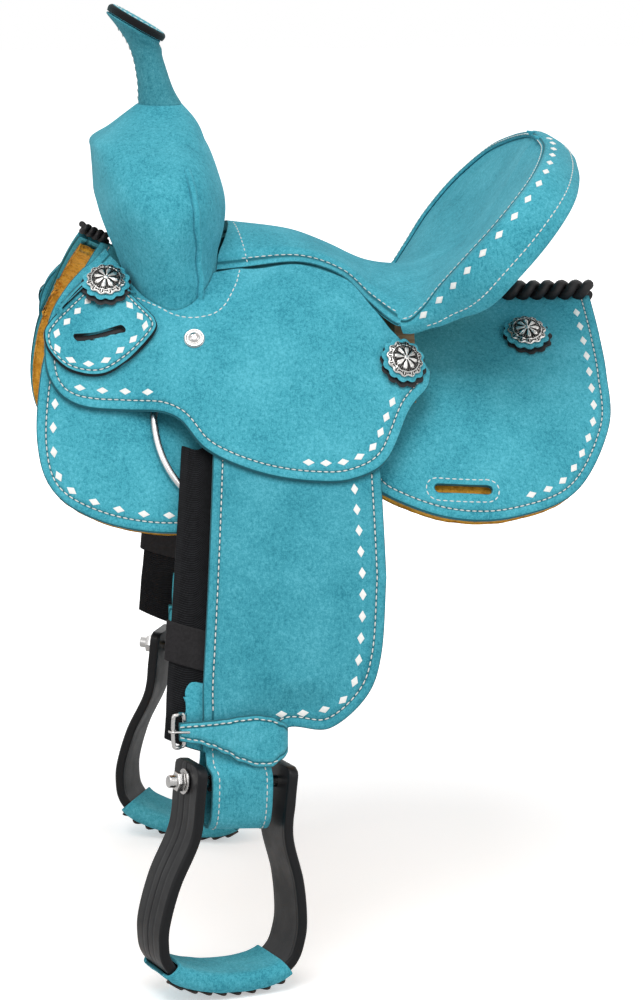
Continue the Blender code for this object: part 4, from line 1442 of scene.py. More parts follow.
@dataclass
class SkirtSet:
    """Skirts with their fleece, box stitching, slot and diamonds."""

    near_front: tuple = (
        ((-163, -2), (-200, 108)), ((-162, -3), (-209, 150)), ((-160, -4), (-213, 203)),
        ((-156, -4), (-203, 232)), ((-146, -4), (-170, 236)),
    )
    far_front: tuple = (
        ((-178, -2), (-198, 100)), ((-175, -3), (-209, 150)), ((-170, -4), (-213, 203)),
        ((-163, -4), (-203, 232)), ((-148, -4), (-170, 236)),
    )
    edges: tuple = (
        ((-112, -4), (-112, 222)),
        ((-74, -4), (-72, 200)), ((-36, -4), (-34, 165)), ((8, -4), (12, 160)),
        ((34, -4), (34, 179)), ((78, -4), (78, 192)), ((126, -4), (130, 191)),
        ((160, -4), (175, 175)), ((182, -4), (202, 128)), ((194, -4), (204, 81)),
        ((199, -4), (202, 40)),
    )
    thickness: float = 3.5
    fleece: float = 7.4
    slot: Place = (90, 171)
    slot_size: Place = (42, 6.5)
    box: tuple[Place, Place] = ((63, 116), (163.5, 180))
    front_row: tuple = ((-199, 169), (-121, 214), 9)
    rear_row: tuple = ((185, 17), (139, 174), 14)

    def build(self, needle: Needle, side: Side) -> None:
        """Model one side's skirt and fleece.

        Args:
            needle: what sews and laces.
            side: the saddle's side.
        """
        def surface(x: float, s: float) -> Vector:
            return BACK.point(x, s, BACK.skirt, side)

        edges = (self.near_front if side is Side.LEFT else self.far_front) + self.edges
        sheet = Sheet(f"{side.word}_skirt_leather", side, edges, surface, self.thickness, 150, 80)
        piece = sheet.model()
        hole = slot_outline(self.slot, *self.slot_size)
        cut(piece, slot_cutter(surface, hole, side, 8))
        sheet.mark_back(piece, [hole])
        dress(smooth(piece, 50), SUEDE, Slot.SUEDE, "saddle", f"{side.word}_skirt")
        sheet.sew(needle, SUEDE.seam)
        sheet.lace(needle, 11.5, *self.front_row)
        sheet.lace(needle, 13.0, *self.rear_row)
        self.sew_box(needle, surface, side)
        self.build_fleece(side, edges)

    def sew_box(self, needle: Needle, surface: Surface, side: Side) -> None:
        """Sew the box with round ends about the slot.

        Args:
            needle: what sews and laces.
            surface: point of the leather at an x and s.
            side: the saddle's side.
        """
        (x0, x1), (s0, s1) = self.box
        middle = ((x0 + x1) / 2, (s0 + s1) / 2)
        ring = slot_outline(middle, x1 - x0, s1 - s0)
        needle.sew(*line_on(surface, respaced(ring, 120), side))

    def build_fleece(self, side: Side, edges: Sequence[tuple[Place, Place]]) -> None:
        """Model the fleece as a woolly sheet that ends just inside the skirt.

        Args:
            side: the saddle's side.
            edges: upper and lower edge of the skirt.
        """
        inner = [((xu * 0.993, 3), (xl * 0.993, sl - (0.4 if 0 < xl < 190 else 1.0)))
                 for (xu, _), (xl, sl) in edges]
        wool = Sheet(f"{side.word}_fleece_wool", side, inner,
                     lambda x, s: BACK.point(x, s, self.fleece, side), self.fleece, 150, 90, 1.6)
        piece = wool.model()
        points = vertices_of(piece)
        normals = np.empty(len(points) * 3)
        piece.data.vertices.foreach_get("normal", normals)
        normals = normals.reshape(-1, 3)
        for index, (point, normal) in enumerate(zip(points, normals)):
            curl = noise.fractal(Vector(point) * 0.16, 0.6, 2.1, 3)
            push = curl - 0.9
            if normal[1] * side.value > 0.35:
                push = min(push, 0.0)
            points[index] = point + normal * push
        piece.data.vertices.foreach_set("co", (points * MM).ravel())
        piece.data.update()
        dress(smooth(piece, 180), FLEECE, Slot.FLEECE, "saddle", f"{side.word}_fleece")


@dataclass
class JockeySet:
    """Seat jockeys, front plates, conchos and the jockey screws."""

    edges: tuple = (
        ((-160, 21), (-177, 46)), ((-156, 30), (-190, 73)), ((-150, 36), (-201, 102)),
        ((-145, 40), (-206, 132)), ((-140, 42), (-202, 155)), ((-132, 42), (-184, 162)),
        ((-118, 42), (-140, 147)), ((-104, 42), (-114, 148)), ((-90, 40), (-94, 165)),
        ((-64, 34), (-58, 174)), ((-21, 32.5), (-18, 177)), ((11, 43), (10, 175)),
        ((32, 64), (34, 161)), ((44, 76), (52, 126)), ((53, 81), (66, 108)), ((62, 85), (70, 95)),
    )
    plate_edges: tuple = (
        ((-174, 64), (-200, 108)), ((-173, 58), (-206, 122)), ((-170, 54), (-203, 135)),
        ((-165, 50), (-188, 141)), ((-159, 49), (-163, 131)), ((-154, 51), (-139, 106)),
        ((-151, 55), (-127, 91)), ((-148, 60), (-128, 83)),
    )
    thickness: float = 3.5
    plate_slot: Place = (-167, 104)
    plate_slot_turn: float = math.radians(-31)
    fork_seam: tuple = ((-158, 52), (-142, 63), (-120, 74), (-99, 77), (-80, 68), (-69, 50), (-65, 37))
    screw: Place = (-100, 92)
    conchos: tuple = (("front", (-161, 62)), ("jockey", (48, 95)), ("rear", (147, 40)))

    def build(self, needle: Needle, side: Side, fork: Piece) -> None:
        """Model one side's jockey, plate and metalwork.

        Args:
            needle: what sews and laces.
            side: the saddle's side.
            fork: block that cuts what meets the fork.
        """
        def surface(x: float, s: float) -> Vector:
            return BACK.point(x, s, BACK.jockey(x, s), side)

        sheet = Sheet(f"{side.word}_jockey_leather", side, self.edges, surface, self.thickness, 130, 60)
        piece = cut(sheet.model(), fork, keep=True)
        sheet.mark_back(piece)
        dress(smooth(piece, 50), SUEDE, Slot.SUEDE, "saddle", f"{side.word}_jockey")
        line = sheet.seam(SUEDE.seam)
        line = line[line[:, 1] > 40]
        needle.sew(*line_on(surface, line, side))
        needle.sew(*line_on(surface, respaced(smooth_curve(self.fork_seam, 8), 90), side))
        sheet.lace(needle, 12.5, (-184, 142), (-134, 130), 4)
        sheet.lace(needle, 12.5, (-22, 164), (37, 122), 8)
        self.build_plate(needle, side)
        under = {"front": lambda x, s: BACK.point(x, s, BACK.plate(x, s), side), "jockey": surface,
                 "rear": lambda x, s: BACK.point(x, s, BACK.skirt, side)}
        for place, spot in self.conchos:
            Concho().build(side, place, spot, under[place])
        self.build_screw(side, surface)

    def build_plate(self, needle: Needle, side: Side) -> None:
        """Model the fan-shaped plate with its strap slot.

        Args:
            needle: what sews and laces.
            side: the saddle's side.
        """
        def surface(x: float, s: float) -> Vector:
            return BACK.point(x, s, BACK.plate(x, s), side)

        sheet = Sheet(f"{side.word}_plate_leather", side, self.plate_edges, surface, self.thickness,
                      70, 44)
        piece = sheet.model()
        hole = slot_outline(self.plate_slot, 42, 4.4, self.plate_slot_turn)
        cut(piece, slot_cutter(surface, hole, side, 8))
        sheet.mark_back(piece, [hole])
        dress(smooth(piece, 50), DYED_EDGE, Slot.SUEDE, "saddle", f"{side.word}_front_plate")
        line = inset(np.vstack([sheet.outline, sheet.outline[:1]]), 3.0, sheet.outline)
        needle.sew(*line_on(surface, line, side))
        sheet.lace(needle, 7.2, (-176, 78), (-146, 76), 13)
        # A thin black sheet behind the slot paints the shadow seen through it.
        lining = grid(f"{side.word}_plate_slot_lining", 24, 6, lambda u, v: self.lining(u, v, side),
                      (0, side.value, 0.5))
        give_wall(lining, 0.5, 0)
        dress(lining, BLACK_LEATHER, Slot.BLACK_LEATHER, "saddle")

    def lining(self, u: float, v: float, side: Side) -> Vector:
        """Point of the black sheet of painted shadow behind the plate's slot.

        Args:
            u: share along the slot.
            v: share across it.
            side: the saddle's side.

        Returns:
            The point.
        """
        c, t = math.cos(self.plate_slot_turn), math.sin(self.plate_slot_turn)
        a, b = (u - 0.5) * 44, (v - 0.5) * 8
        x, s = self.plate_slot[0] + a * c - b * t, self.plate_slot[1] + a * t + b * c
        return BACK.point(x, s, BACK.plate(x, s) - self.thickness + 0.2, side)

    def build_screw(self, side: Side, surface: Surface) -> None:
        """Model the pan head screw with its rimmed washer and cross recess.

        Args:
            side: the saddle's side.
            surface: point of the leather at an x and s.
        """
        spot = frame_on(surface, self.screw, side, 0.3, reach=7.0)

        profile = smooth_curve([(0.01, 3.3), (2.0, 3.2), (3.6, 2.5), (4.3, 1.4), (4.5, 1.0), (5.2, 0.8),
                                (6.0, 1.6), (6.9, 1.5), (7.0, 0.4), (6.8, 0.0), (0.01, 0.0)], 4)
        head = spun(f"{side.word}_jockey_screw_head", profile, 48)
        for turn in (0.35, 0.35 + math.pi / 2):
            bpy.ops.object.select_all(action="DESELECT")
            bpy.ops.mesh.primitive_cube_add(size=1)
            punch = named("cross_punch")
            punch.data.transform(Matrix.Rotation(turn, 4, "Z") @ Matrix.Translation((0, 0, 3.0))
                                 @ Matrix.Diagonal((4.4, 0.9, 1.8, 1)))
            cut(head, punch)
        move_mesh(head, spot)
        dress(smooth(head, 35), CHROME, Slot.STEEL, "saddle", f"{side.word}_jockey_screw")


@dataclass
class Concho:
    """Engraved silver concho on a scalloped rosette, with a black scalloped disc behind it that paints its
    shadow.
    """

    radius: float = 14.2
    height: float = 4.6
    rosette: float = 17.5
    rosette_thick: float = 3.0
    scallops: int = 12
    petals: int = 8

    def relief(self, share: float, angle: float) -> float:
        """Height of the engraving, from 0 to 1.

        Args:
            share: way out from the middle.
            angle: angle round it.

        Returns:
            The height.
        """
        petal = 0.5 + 0.5 * math.cos(self.petals * angle)
        lobe = 0.5 + 0.5 * math.cos(self.scallops * angle)
        vein = 0.5 + 0.5 * math.cos(5 * self.petals * angle)
        if share < 0.13:
            return 0.5 + 0.5 * ease((0.13 - share) / 0.08)
        tip = 0.50 + 0.14 * petal
        if share < tip:
            width = 0.2 + 0.8 * ease((share - 0.13) / 0.22)
            body = ease(petal * 1.5 / (1.3 - 0.5 * width) - 0.16)
            groove = 1 - 0.45 * vein * ease((share - 0.25) / 0.15)
            return body * groove * ease((tip - share) / 0.05 + 0.2)
        if share < 0.70:
            return 0.55 * ease((math.cos(3 * self.scallops * angle) - 0.1) * 1.4)
        if share < 0.76:
            return 0.8 if share > 0.715 else 0.1
        arc = 0.80 + 0.12 * lobe
        if share < arc:
            return 0.25 + 0.5 * ease((vein - 0.3) * 2) * lobe
        return 0.9 if share > arc + 0.03 else 0.1

    def disc(self, name: str, radius: float, profile: Callable[[float, float], float], depth: float,
             scallop: float) -> Piece:
        """Model a scalloped disc whose top follows a profile.

        Args:
            name: the piece's name.
            radius: its radius.
            profile: height over share of the radius and angle.
            depth: how far below 0 its flat back lies.
            scallop: how deep the scallops are, as a share of the radius.

        Returns:
            The disc, modelled at the origin in millimetres.
        """
        def place(u: float, v: float) -> Vector:
            angle = 2 * math.pi * u
            edge = radius * (1 - scallop * (0.5 - 0.5 * math.cos(self.scallops * angle)) ** 1.5)
            if v <= 0.8:
                share = v / 0.8
                reach, height = edge * share, profile(share, angle)
            else:
                share = 1 - (v - 0.8) / 0.2
                reach, height = edge * share, -depth
            return Vector((reach * math.cos(angle), reach * math.sin(angle), height))

        piece = grid(name, 144, 50, place)
        piece.data.transform(Matrix.Scale(1 / MM, 4))
        return piece

    def build(self, side: Side, place: str, spot: Place, surface: Surface) -> None:
        """Model the three discs and lay them on the leather.

        Args:
            side: the saddle's side.
            place: which concho it is.
            spot: its x and s.
            surface: what it lies on.
        """
        spot_frame = frame_on(surface, spot, side, 1.0, reach=self.rosette)
        base = self.rosette_thick + 0.3

        def dome(share: float, angle: float) -> float:
            rise = (self.height - 1.6) * (1 - share ** 2.2)
            edge = 1 - 0.6 * ease((share - 0.96) / 0.04)
            return base + 1.0 + rise + 0.6 * self.relief(share, angle) * edge

        concho = self.disc(f"{side.word}_{place}_concho_silver", self.radius, dome, -base, 0.09)
        points = vertices_of(concho) * MM
        shares = np.hypot(points[:, 0], points[:, 1]) / self.radius
        angles = np.arctan2(points[:, 1], points[:, 0])
        put_value(concho, "relief", [self.relief(r, a) for r, a in zip(shares, angles)])
        move_mesh(concho, spot_frame)
        dress(smooth(concho, 60), SILVER, Slot.SILVER, "saddle", f"{side.word}_{place}_concho")

        def crown(share: float, angle: float) -> float:
            return self.rosette_thick - 0.7 * ease((share - 0.82) / 0.18)

        rosette = self.disc(f"{side.word}_{place}_rosette_leather", self.rosette, crown, 0.2, 0.1)
        points = vertices_of(rosette) * MM
        angles = np.arctan2(points[:, 1], points[:, 0])
        edge = self.rosette * (1 - 0.1 * (0.5 - 0.5 * np.cos(self.scallops * angles)) ** 1.5)
        depth = edge - np.hypot(points[:, 0], points[:, 1])
        put_value(rosette, "cut", depth + (points[:, 2] > 2.0) * 0.4)
        move_mesh(rosette, spot_frame)
        dress(smooth(rosette, 50), CUT_SHAPE, Slot.SUEDE, "saddle", f"{side.word}_{place}_rosette")

        # A black copy of the rosette, shifted down and rearward, paints its shadow.
        shadow_disc = self.disc(f"{side.word}_{place}_rosette_backing", self.rosette * 1.05,
                            lambda share, angle: 0.4 - 0.3 * ease((share - 0.9) / 0.1), 0.9, 0.1)
        move_mesh(shadow_disc, spot_frame @ Matrix.Translation((0.8, side.value * 2.3, 0)))
        dress(smooth(shadow_disc, 50), BLACK_LEATHER, Slot.BLACK_LEATHER, "saddle")


# Fork, horn and seat

@dataclass
class ForkSet:
    """Fork cover with its welt, the horn and the laces in front."""

    sections: tuple = (
        (-34, -140, -84, 84, 2.4), (0, -143, -80, 86, 2.4), (25, -151, -74, 92, 2.1),
        (45, -161, -71, 99, 1.7), (65, -165, -70, 105, 1.9), (85, -167, -72, 104, 2.3),
        (103, -168, -77, 92, 2.5), (117, -169, -82, 74, 2.6), (125, -169, -86, 60, 2.6),
        (133, -157, -89, 46, 2.5), (141, -147, -94, 31, 2.3), (150, -135.5, -102, 17, 2.0),
    )
    horn: tuple = (
        (-118.5, 151.6, 15.5, 15.0, 0), (-120.5, 160.0, 13.8, 13.4, 8),
        (-122.5, 168.0, 12.8, 12.6, 12), (-125.5, 180.0, 12.4, 12.4, 16),
        (-128.9, 190.0, 13.9, 13.9, 22), (-132.8, 198.0, 18.2, 18.0, 27),
        (-137.3, 204.8, 21.9, 21.9, 30), (-136.5, 206.2, 22.0, 22.0, 30),
    )
    welt: tuple = ((8, 0.184), (21, 0.180), (35, 0.170), (53, 0.167), (76, 0.183), (93, 0.188),
                   (110, 0.187))
    cover: float = 4.0
    cap_radius: float = 23.5
    cap_thick: float = 6.0

    def __post_init__(self) -> None:
        """Smooth the sections."""
        self.rings = respaced(smooth_curve(self.sections, 12), 90)

    def point(self, u: float, v: float, grow: float = 0.0) -> Vector:
        """Point on the fork: u goes round it and v goes up it.

        Args:
            u: share of the way round, or place along the seat's edge.
            v: share of the way along.
            grow: how much larger than the surface.

        Returns:
            The point.
        """
        at = v * (len(self.rings) - 1)
        low = min(int(at), len(self.rings) - 2)
        z, front, rear, half, power = (self.rings[low]
                                       + (self.rings[low + 1] - self.rings[low]) * (at - low))
        c, s = math.cos(2 * math.pi * u), math.sin(2 * math.pi * u)
        centre, long, wide = (front + rear) / 2, (rear - front) / 2 + grow, half + grow
        return Vector((centre + long * math.copysign(abs(c) ** (2 / power), c),
                       wide * math.copysign(abs(s) ** (2 / power), s), z + min(grow, 0.0) * v))

    def block(self, name: str, grow: float) -> Piece:
        """Model the fork's solid, larger by grow all round."""
        return close_ends(grid(name, 128, 88, lambda u, v: self.point(u, v, grow)))

    @staticmethod
    def bed() -> Piece:
        """Model the block that fills the space of the bars.

        Returns:
            The block.
        """
        places = (200, 160, 130, 100, 75, 50, 25, 4)

        def place(u: float, v: float) -> Vector:
            x = -200 + 160 * v
            ring = [BACK.point(x, s, BACK.bar, Side.RIGHT) for s in places]
            ring += [BACK.point(x, s, BACK.bar, Side.LEFT) for s in reversed(places)]
            ring += [Vector((x, ring[-1].y, -260)), Vector((x, ring[0].y, -260))]
            return ring[int(round(u * len(ring))) % len(ring)]

        return close_ends(grid("bar_bed", len(places) * 2 + 2, 16, place))

    def build(self, needle: Needle) -> Piece:
        """Model the cover, the horn and the welts.

        Args:
            needle: what sews the seams.

        Returns:
            A block a little larger than the fork, which cuts what lies round it.
        """
        cover = self.block("fork_cover_leather", 0.0)
        hollow = self.block("fork_hollow", -self.cover)
        cut(cover, self.bed())
        bpy.ops.object.select_all(action="DESELECT")
        bpy.ops.mesh.primitive_cylinder_add(vertices=96, radius=1, depth=1, end_fill_type="NGON")
        arch = named("gullet_arch")
        begin_edit(arch)
        bpy.ops.transform.rotate(value=math.pi / 2, orient_axis="Y", center_override=(0, 0, 0))
        bpy.ops.transform.resize(value=(0.15, 0.052, 0.060))
        bpy.ops.transform.translate(value=(-0.12, 0, 0.030))
        bpy.ops.mesh.normals_make_consistent(inside=False)
        end_edit()
        cut(cover, arch)
        cut(cover, hollow)
        points = vertices_of(cover)
        put_value(cover, "rim", np.full(len(points), FAR_FROM_EDGE))
        ring = np.array([(52 * math.cos(a), 30 + 60 * math.sin(a))
                         for a in np.linspace(0, 2 * math.pi, 121)])
        edge = distance_to(points[:, 1:], ring)
        shown = (edge < 2) & (points[:, 0] > -158) & (points[:, 0] < -78)
        put_value(cover, "cut", np.where(shown, 0.0, FAR_FROM_EDGE))
        dress(smooth(cover, 50), PLAIN_SUEDE, Slot.SUEDE, "saddle", "fork_cover")
        self.build_welts()
        self.build_horn(needle)
        twist_lace("front_skirt_lace", -176, -158, 2, "front_lacing", 2.3)
        return self.block("fork_space", 0.7)

    def build_welts(self) -> None:
        """Model the corded welt down each side of the fork, and a thin dark line beside it that paints the
        shade in the crease.
        """
        for side in Side:
            points, normals = [], []
            for z in np.linspace(110, 8, 60):
                v = float(np.interp(z, self.rings[:, 0], np.linspace(0, 1, len(self.rings))))
                u = side.value * between(z, self.welt)
                here = self.point(u, v)
                normal = (self.point(u + 0.003, v) - self.point(u - 0.003, v)).cross(
                    self.point(u, v + 0.004) - self.point(u, v - 0.004))
                normal = normal.normalized()
                if normal.dot(here - Vector((-120, 0, here.z))) < 0:
                    normal = -normal
                points.append(here)
                normals.append(normal)
            count = len(points) - 1
            proud = [1.7 * ease(i / 8) * ease((count - i) / 6) for i in range(count + 1)]
            line = [p + n * (h - 0.2) for p, n, h in zip(points, normals, proud)]
            welt = tube(f"{side.word}_fork_welt", line, 2.5)
            dress(welt, PLAIN_SUEDE, Slot.SUEDE, "saddle")
            # A thin dark tube just in front of the welt paints the shade in the crease beside it.
            crease = [p + n * 0.25 + Vector((-3.0, 0, 0)) for p, n in zip(points, normals)]
            shade = tube(f"{side.word}_fork_welt_crease", crease, 0.7, resolution=2)
            dress(shade, WELT_SHADE, Slot.DARK_SUEDE, "saddle")

    def horn_point(self, u: float, v: float, grow: float = 0.0) -> Vector:
        """Point on the horn's neck.

        Args:
            u: share of the way round.
            v: share of the way along.
            grow: how much larger than the surface.

        Returns:
            The point.
        """
        at = v * (len(self.neck) - 1)
        low = max(min(int(at), len(self.neck) - 2), 0)
        x, z, along, across, tilt = self.neck[low] + (self.neck[low + 1] - self.neck[low]) * (at - low)
        lean = math.radians(tilt)
        reach = (along + grow) * math.cos(2 * math.pi * u)
        return Vector((x + reach * math.cos(lean), (across + grow) * math.sin(2 * math.pi * u),
                       z - reach * math.sin(lean)))

    def build_horn(self, needle: Needle) -> None:
        """Model the wrapped neck, its seams and the cap.

        Args:
            needle: what sews and laces.
        """
        self.neck = respaced(smooth_curve(self.horn, 10), 71)
        neck = grid("horn_neck_leather", 72, 70, lambda u, v: self.horn_point(u, 1.035 * v - 0.035))
        face_out(neck)
        give_wall(neck, 3.0, 0.8)
        # The neck's suede is darker than the rest as painted shade.
        dress(smooth(neck, 60), NECK_SHADED_SUEDE, Slot.SUEDE, "saddle", "horn_wrap")
        for u, start, end in ((0.5, 0.04, 0.80), (0.47, 0.04, 0.80)):
            points = [self.horn_point(u, v, 0.25) for v in np.linspace(start, end, 40)]
            normals = [(p - Vector((p.x + 12, 0, p.z + 3))).normalized() for p in points]
            needle.sew(points, normals)
        lean = math.radians(30)
        spot = (Matrix.Translation((-136.5, 0, 206.2)) @ Matrix.Rotation(lean, 4, "Y")
                @ Matrix.Translation((0, 0, 0.6)))
        r, t = self.cap_radius, self.cap_thick
        profile = smooth_curve([(0.01, t + 0.6), (r * 0.5, t + 0.5), (r * 0.82, t + 0.2), (r - 1.6, t - 0.3),
                                (r - 0.3, t - 1.6), (r, t / 2), (r - 0.3, 1.2), (r - 1.4, 0.1),
                                (r * 0.6, 0.0), (0.01, 0.0)], 6)
        cap = spun("horn_cap_leather", profile, 96)
        points = vertices_of(cap) * MM
        reach = np.hypot(points[:, 0], points[:, 1])
        put_value(cap, "rim", r - reach)
        put_value(cap, "cut", np.where((reach > r - 2.4) & (points[:, 2] > 0.3), 0.0, 5.0))
        move_mesh(cap, spot)
        dress(smooth(cap, 60), CUT_SHAPE, Slot.SUEDE, "saddle", "horn_cap")
        ring = [spot @ Vector(((r - 4.5) * math.cos(a), (r - 4.5) * math.sin(a), t + 0.25))
                for a in np.linspace(0, 2 * math.pi, 60)]
        up = spot.to_3x3() @ Vector((0, 0, 1))
        needle.sew(ring, [up] * len(ring))


def twist_lace(name: str, start: float, end: float, turns: int, node: str, radius: float) -> None:
    """Model a lace that is whipped over the skirts' top edges.

    Args:
        name: the piece's name.
        start: where it starts along the saddle.
        end: where it ends.
        turns: how many times it goes round.
        node: the CAD node that it replaces.
        radius: the lace's radius.
    """
    strands = []
    for phase in (0.0, math.pi):
        points = []
        for t in np.linspace(0, 1, turns * 16 + 1):
            x = start + (end - start) * t
            angle = 2 * math.pi * turns * t + phase
            ridge = BACK.point(x, -4, BACK.skirt, Side.LEFT).z
            height = ridge + 3.6 + (radius + 0.2) * math.cos(angle)
            points.append((x, (radius + 1.8) * math.sin(angle), height))
        strands.append(tube(f"strand_{len(strands)}", points, radius, resolution=3))
    dress(smooth(join(strands, name), 60), BLACK_LEATHER, Slot.BLACK_LEATHER, "saddle", node)


@dataclass
class SeatSet:
    """Padded seat, cantle roll, cantle back and the rear lace."""

    edges: tuple = (
        ((-92, -60, 38), (-92, 0, 68)), ((-65, -60, 41), (-65, 0, 64)),
        ((-21, -62, 46), (-21, 0, 55.5)), ((11, -70, 37), (11, 0, 41.5)),
        ((31, -85, 18), (36, 0, 32)), ((49, -103, 5), (60, 0, 29)),
        ((62, -109, 13), (76, 0, 30)), ((75, -115, 30), (88, 0, 35)),
        ((92, -129, 52), (100, 0, 43)), ((113, -133, 76), (114, 0, 56)),
        ((135, -116, 99), (130, 0, 78)), ((148, -85, 111), (142, 0, 98)),
        ((156, -48, 118.5), (150, 0, 113.5)), ((157, -16, 121.5), (156, 0, 122)),
    )
    wall: float = 8.0
    roll_width: float = 35.5
    roll_bulge: float = 12.0
    roll_thick: float = 6.0
    roll_start: int = 5

    def __post_init__(self) -> None:
        """Smooth the edge and the middle line."""
        self.steps = 16
        self.lines = smooth_curve([(*edge, *middle) for edge, middle in self.edges], self.steps)

    def line(self, u: float) -> np.ndarray:
        """Edge point and middle point at u, counted in pairs of the edge."""
        at = min(max(u, 0.0) * self.steps, len(self.lines) - 1.0)
        low = min(int(at), len(self.lines) - 2)
        return self.lines[low] + (self.lines[low + 1] - self.lines[low]) * (at - low)

    def point(self, u: float, across: float) -> Vector:
        """Point on the seat: across goes from -1 at the left edge to 1 at the right one.

        Args:
            u: share of the way round, or place along the seat's edge.
            across: from -1 at the left edge to 1 at the right one.

        Returns:
            The point.
        """
        row = self.line(u)
        t = 1 - abs(across)
        point = Vector(row[:3]).lerp(Vector(row[3:]), t)
        point.z = row[5] + (row[2] - row[5]) * (1 - t) ** 2
        return Vector((point.x, math.copysign(point.y, across), point.z))

    def normal(self, u: float, across: float) -> Vector:
        """Upward normal of the seat.

        Args:
            u: place along the seat's edge.
            across: from -1 at the left edge to 1 at the right one.

        Returns:
            The normal.
        """
        run = self.point(u + 0.02, across) - self.point(u - 0.02, across)
        over = self.point(u, min(across + 0.01, 1)) - self.point(u, max(across - 0.01, -1))
        normal = run.cross(over).normalized()
        return normal if normal.z > 0 else -normal

    def build(self, needle: Needle, fork: Piece) -> None:
        """Model the seat and all that is fixed to the cantle.

        Args:
            needle: what sews and laces.
            fork: block that cuts what meets the fork.
        """
        last = len(self.edges) - 1

        def place(u: float, v: float) -> Vector:
            at, across = u * last, 2 * v - 1
            swell = 1.6 * ease((1 - abs(across)) / 0.25)
            swell *= ease((at - 0.5) / 1.5) * ease((last - at) / 2)
            sink = 3.6 * ease((abs(across) - 0.78) / 0.22) * ease((5.6 - at) / 0.8)
            return self.point(at, across) + self.normal(at, across) * (swell - sink - 1.2)

        seat = grid("seat_leather", 170, 120, place, (0, 0, 1))
        self.thin_edge(seat)
        give_wall(seat, self.wall - 1.0, 0.6)
        cut(seat, fork, keep=True)
        points = vertices_of(seat)
        edge = self.reach(points, [self.point(at, -1) for at in np.linspace(0, last, 260)])
        put_value(seat, "rim", np.where(points[:, 0] < 48, edge, FAR_FROM_EDGE))
        put_value(seat, "cut", np.full(len(points), FAR_FROM_EDGE))
        dress(smooth(seat, 60), SUEDE, Slot.SUEDE, "saddle", "seat")
        for sign in (-1, 1):
            line = [(at, sign * 0.9) for at in np.linspace(1.1, 4.7, 60)]
            needle.sew([place(at / last, (a + 1) / 2) for at, a in line],
                       [self.normal(at, a) for at, a in line])
        line = list(zip(np.linspace(1.15, 1.0, 40), np.linspace(0.93, 0.1, 40)))
        for sign in (-1, 1):
            needle.sew([place(at / last, (sign * a + 1) / 2) for at, a in line],
                       [self.normal(at, sign * a) for at, a in line])
        self.build_roll(needle)
        self.build_back()
        twist_lace("rear_skirt_lace", 136, 199, 3, "rear_lacing", 4.0)

    @staticmethod
    def reach(points: np.ndarray, line: Sequence[Vector]) -> np.ndarray:
        """Distances of points, mirrored to the left side, from a line there."""
        flat = np.stack([points[:, 0], -np.abs(points[:, 1]), points[:, 2]], axis=1)
        return distance_to(flat, np.array(line))

    def thin_edge(self, seat: Piece) -> None:
        """Store the wall's share of its thickness, thin where the seat meets the jockeys.

        Args:
            seat: the seat's surface.
        """
        edge = self.reach(vertices_of(seat), [self.point(at, -1) for at in np.linspace(0, 5.2, 120)])
        group = seat.vertex_groups.new(name="wall")
        for index, reach in enumerate(edge):
            group.add([index], 0.35 + 0.65 * ease(reach / 22), "REPLACE")

    def roll_frame(self, t: float) -> tuple[Vector, Vector, Vector, float]:
        """Frame of the roll.

        Args:
            t: place along it, from the left tip at 0 to the middle at 1.

        Returns:
            The edge point, the way out, the seat's normal and the growth from the tip.
        """
        last = len(self.edges) - 1
        at = self.roll_start + (last - self.roll_start) * t
        edge = self.point(at, -1)
        run = self.point(min(at + 0.15, last), -1) - self.point(max(at - 0.15, self.roll_start), -1)
        run = run.normalized()
        if t > 0.995:
            run = Vector((0, 1, 0))
        inward = (self.point(at, -0.83) - edge).normalized()
        if at > last - 0.75:
            share = ease((at - last + 0.75) / 0.75)
            middle = (self.point(last - 1.2, -0.4) - edge).normalized()
            inward = inward.lerp(middle, share).normalized()
        normal = run.cross(inward).normalized()
        normal = normal if normal.z > 0 else -normal
        away = normal.cross(run).normalized()
        away = -away if away.dot(inward) > 0 else away
        index = t * 2 * (last - self.roll_start)
        grow = 0.3 + 0.7 * ease(index / 6)
        return edge, away, normal, grow

    def roll_point(self, t: float, around: float) -> Vector:
        """Point of the roll's skin at t, around its section.

        Args:
            t: place along the roll, up to 1 at the middle.
            around: share of the way round its section.

        Returns:
            The point.
        """
        edge, away, normal, grow = self.roll_frame(t)
        index = t * 2 * (len(self.edges) - 1 - self.roll_start)
        wide = self.roll_width * grow * (1 - 0.28 * ease((index - 8) / 8))
        bulge = self.roll_bulge * grow * (1 - 0.35 * ease((index - 8) / 8))
        thick = self.roll_thick * (0.5 + 0.5 * grow)
        base = np.array([(0.4, -0.8), (0.7 + bulge * 0.3, -0.9), (0.7 + bulge * 0.72, wide * 0.07),
                         (0.7 + bulge, wide * 0.32), (0.7 + bulge, wide * 0.66),
                         (0.7 + bulge * 0.72, wide), (0.7 + bulge * 0.7 - thick * 0.7, wide * 0.97),
                         (0.7 + bulge * 0.5, wide * 0.5), (0.6, wide * 0.2)])
        low = int(around * 9) % 9
        share = around * 9 - int(around * 9)
        a, b, c, d = (base[(low + k) % 9] for k in (-1, 0, 1, 2))
        out, back = 0.5 * (2 * b + (c - a) * share + (2 * a - 5 * b + 4 * c - d) * share ** 2
                           + (3 * b - a - 3 * c + d) * share ** 3)
        return edge + away * out - normal * back

    def build_roll(self, needle: Needle) -> None:
        """Model the rolled rim with its seams and diamonds.

        Args:
            needle: what sews and laces.
        """
        def place(u: float, v: float) -> Vector:
            t = 1 - abs(2 * u - 1)
            point = self.roll_point(t, v)
            return point if u <= 0.5 else Vector((point.x, -point.y, point.z))

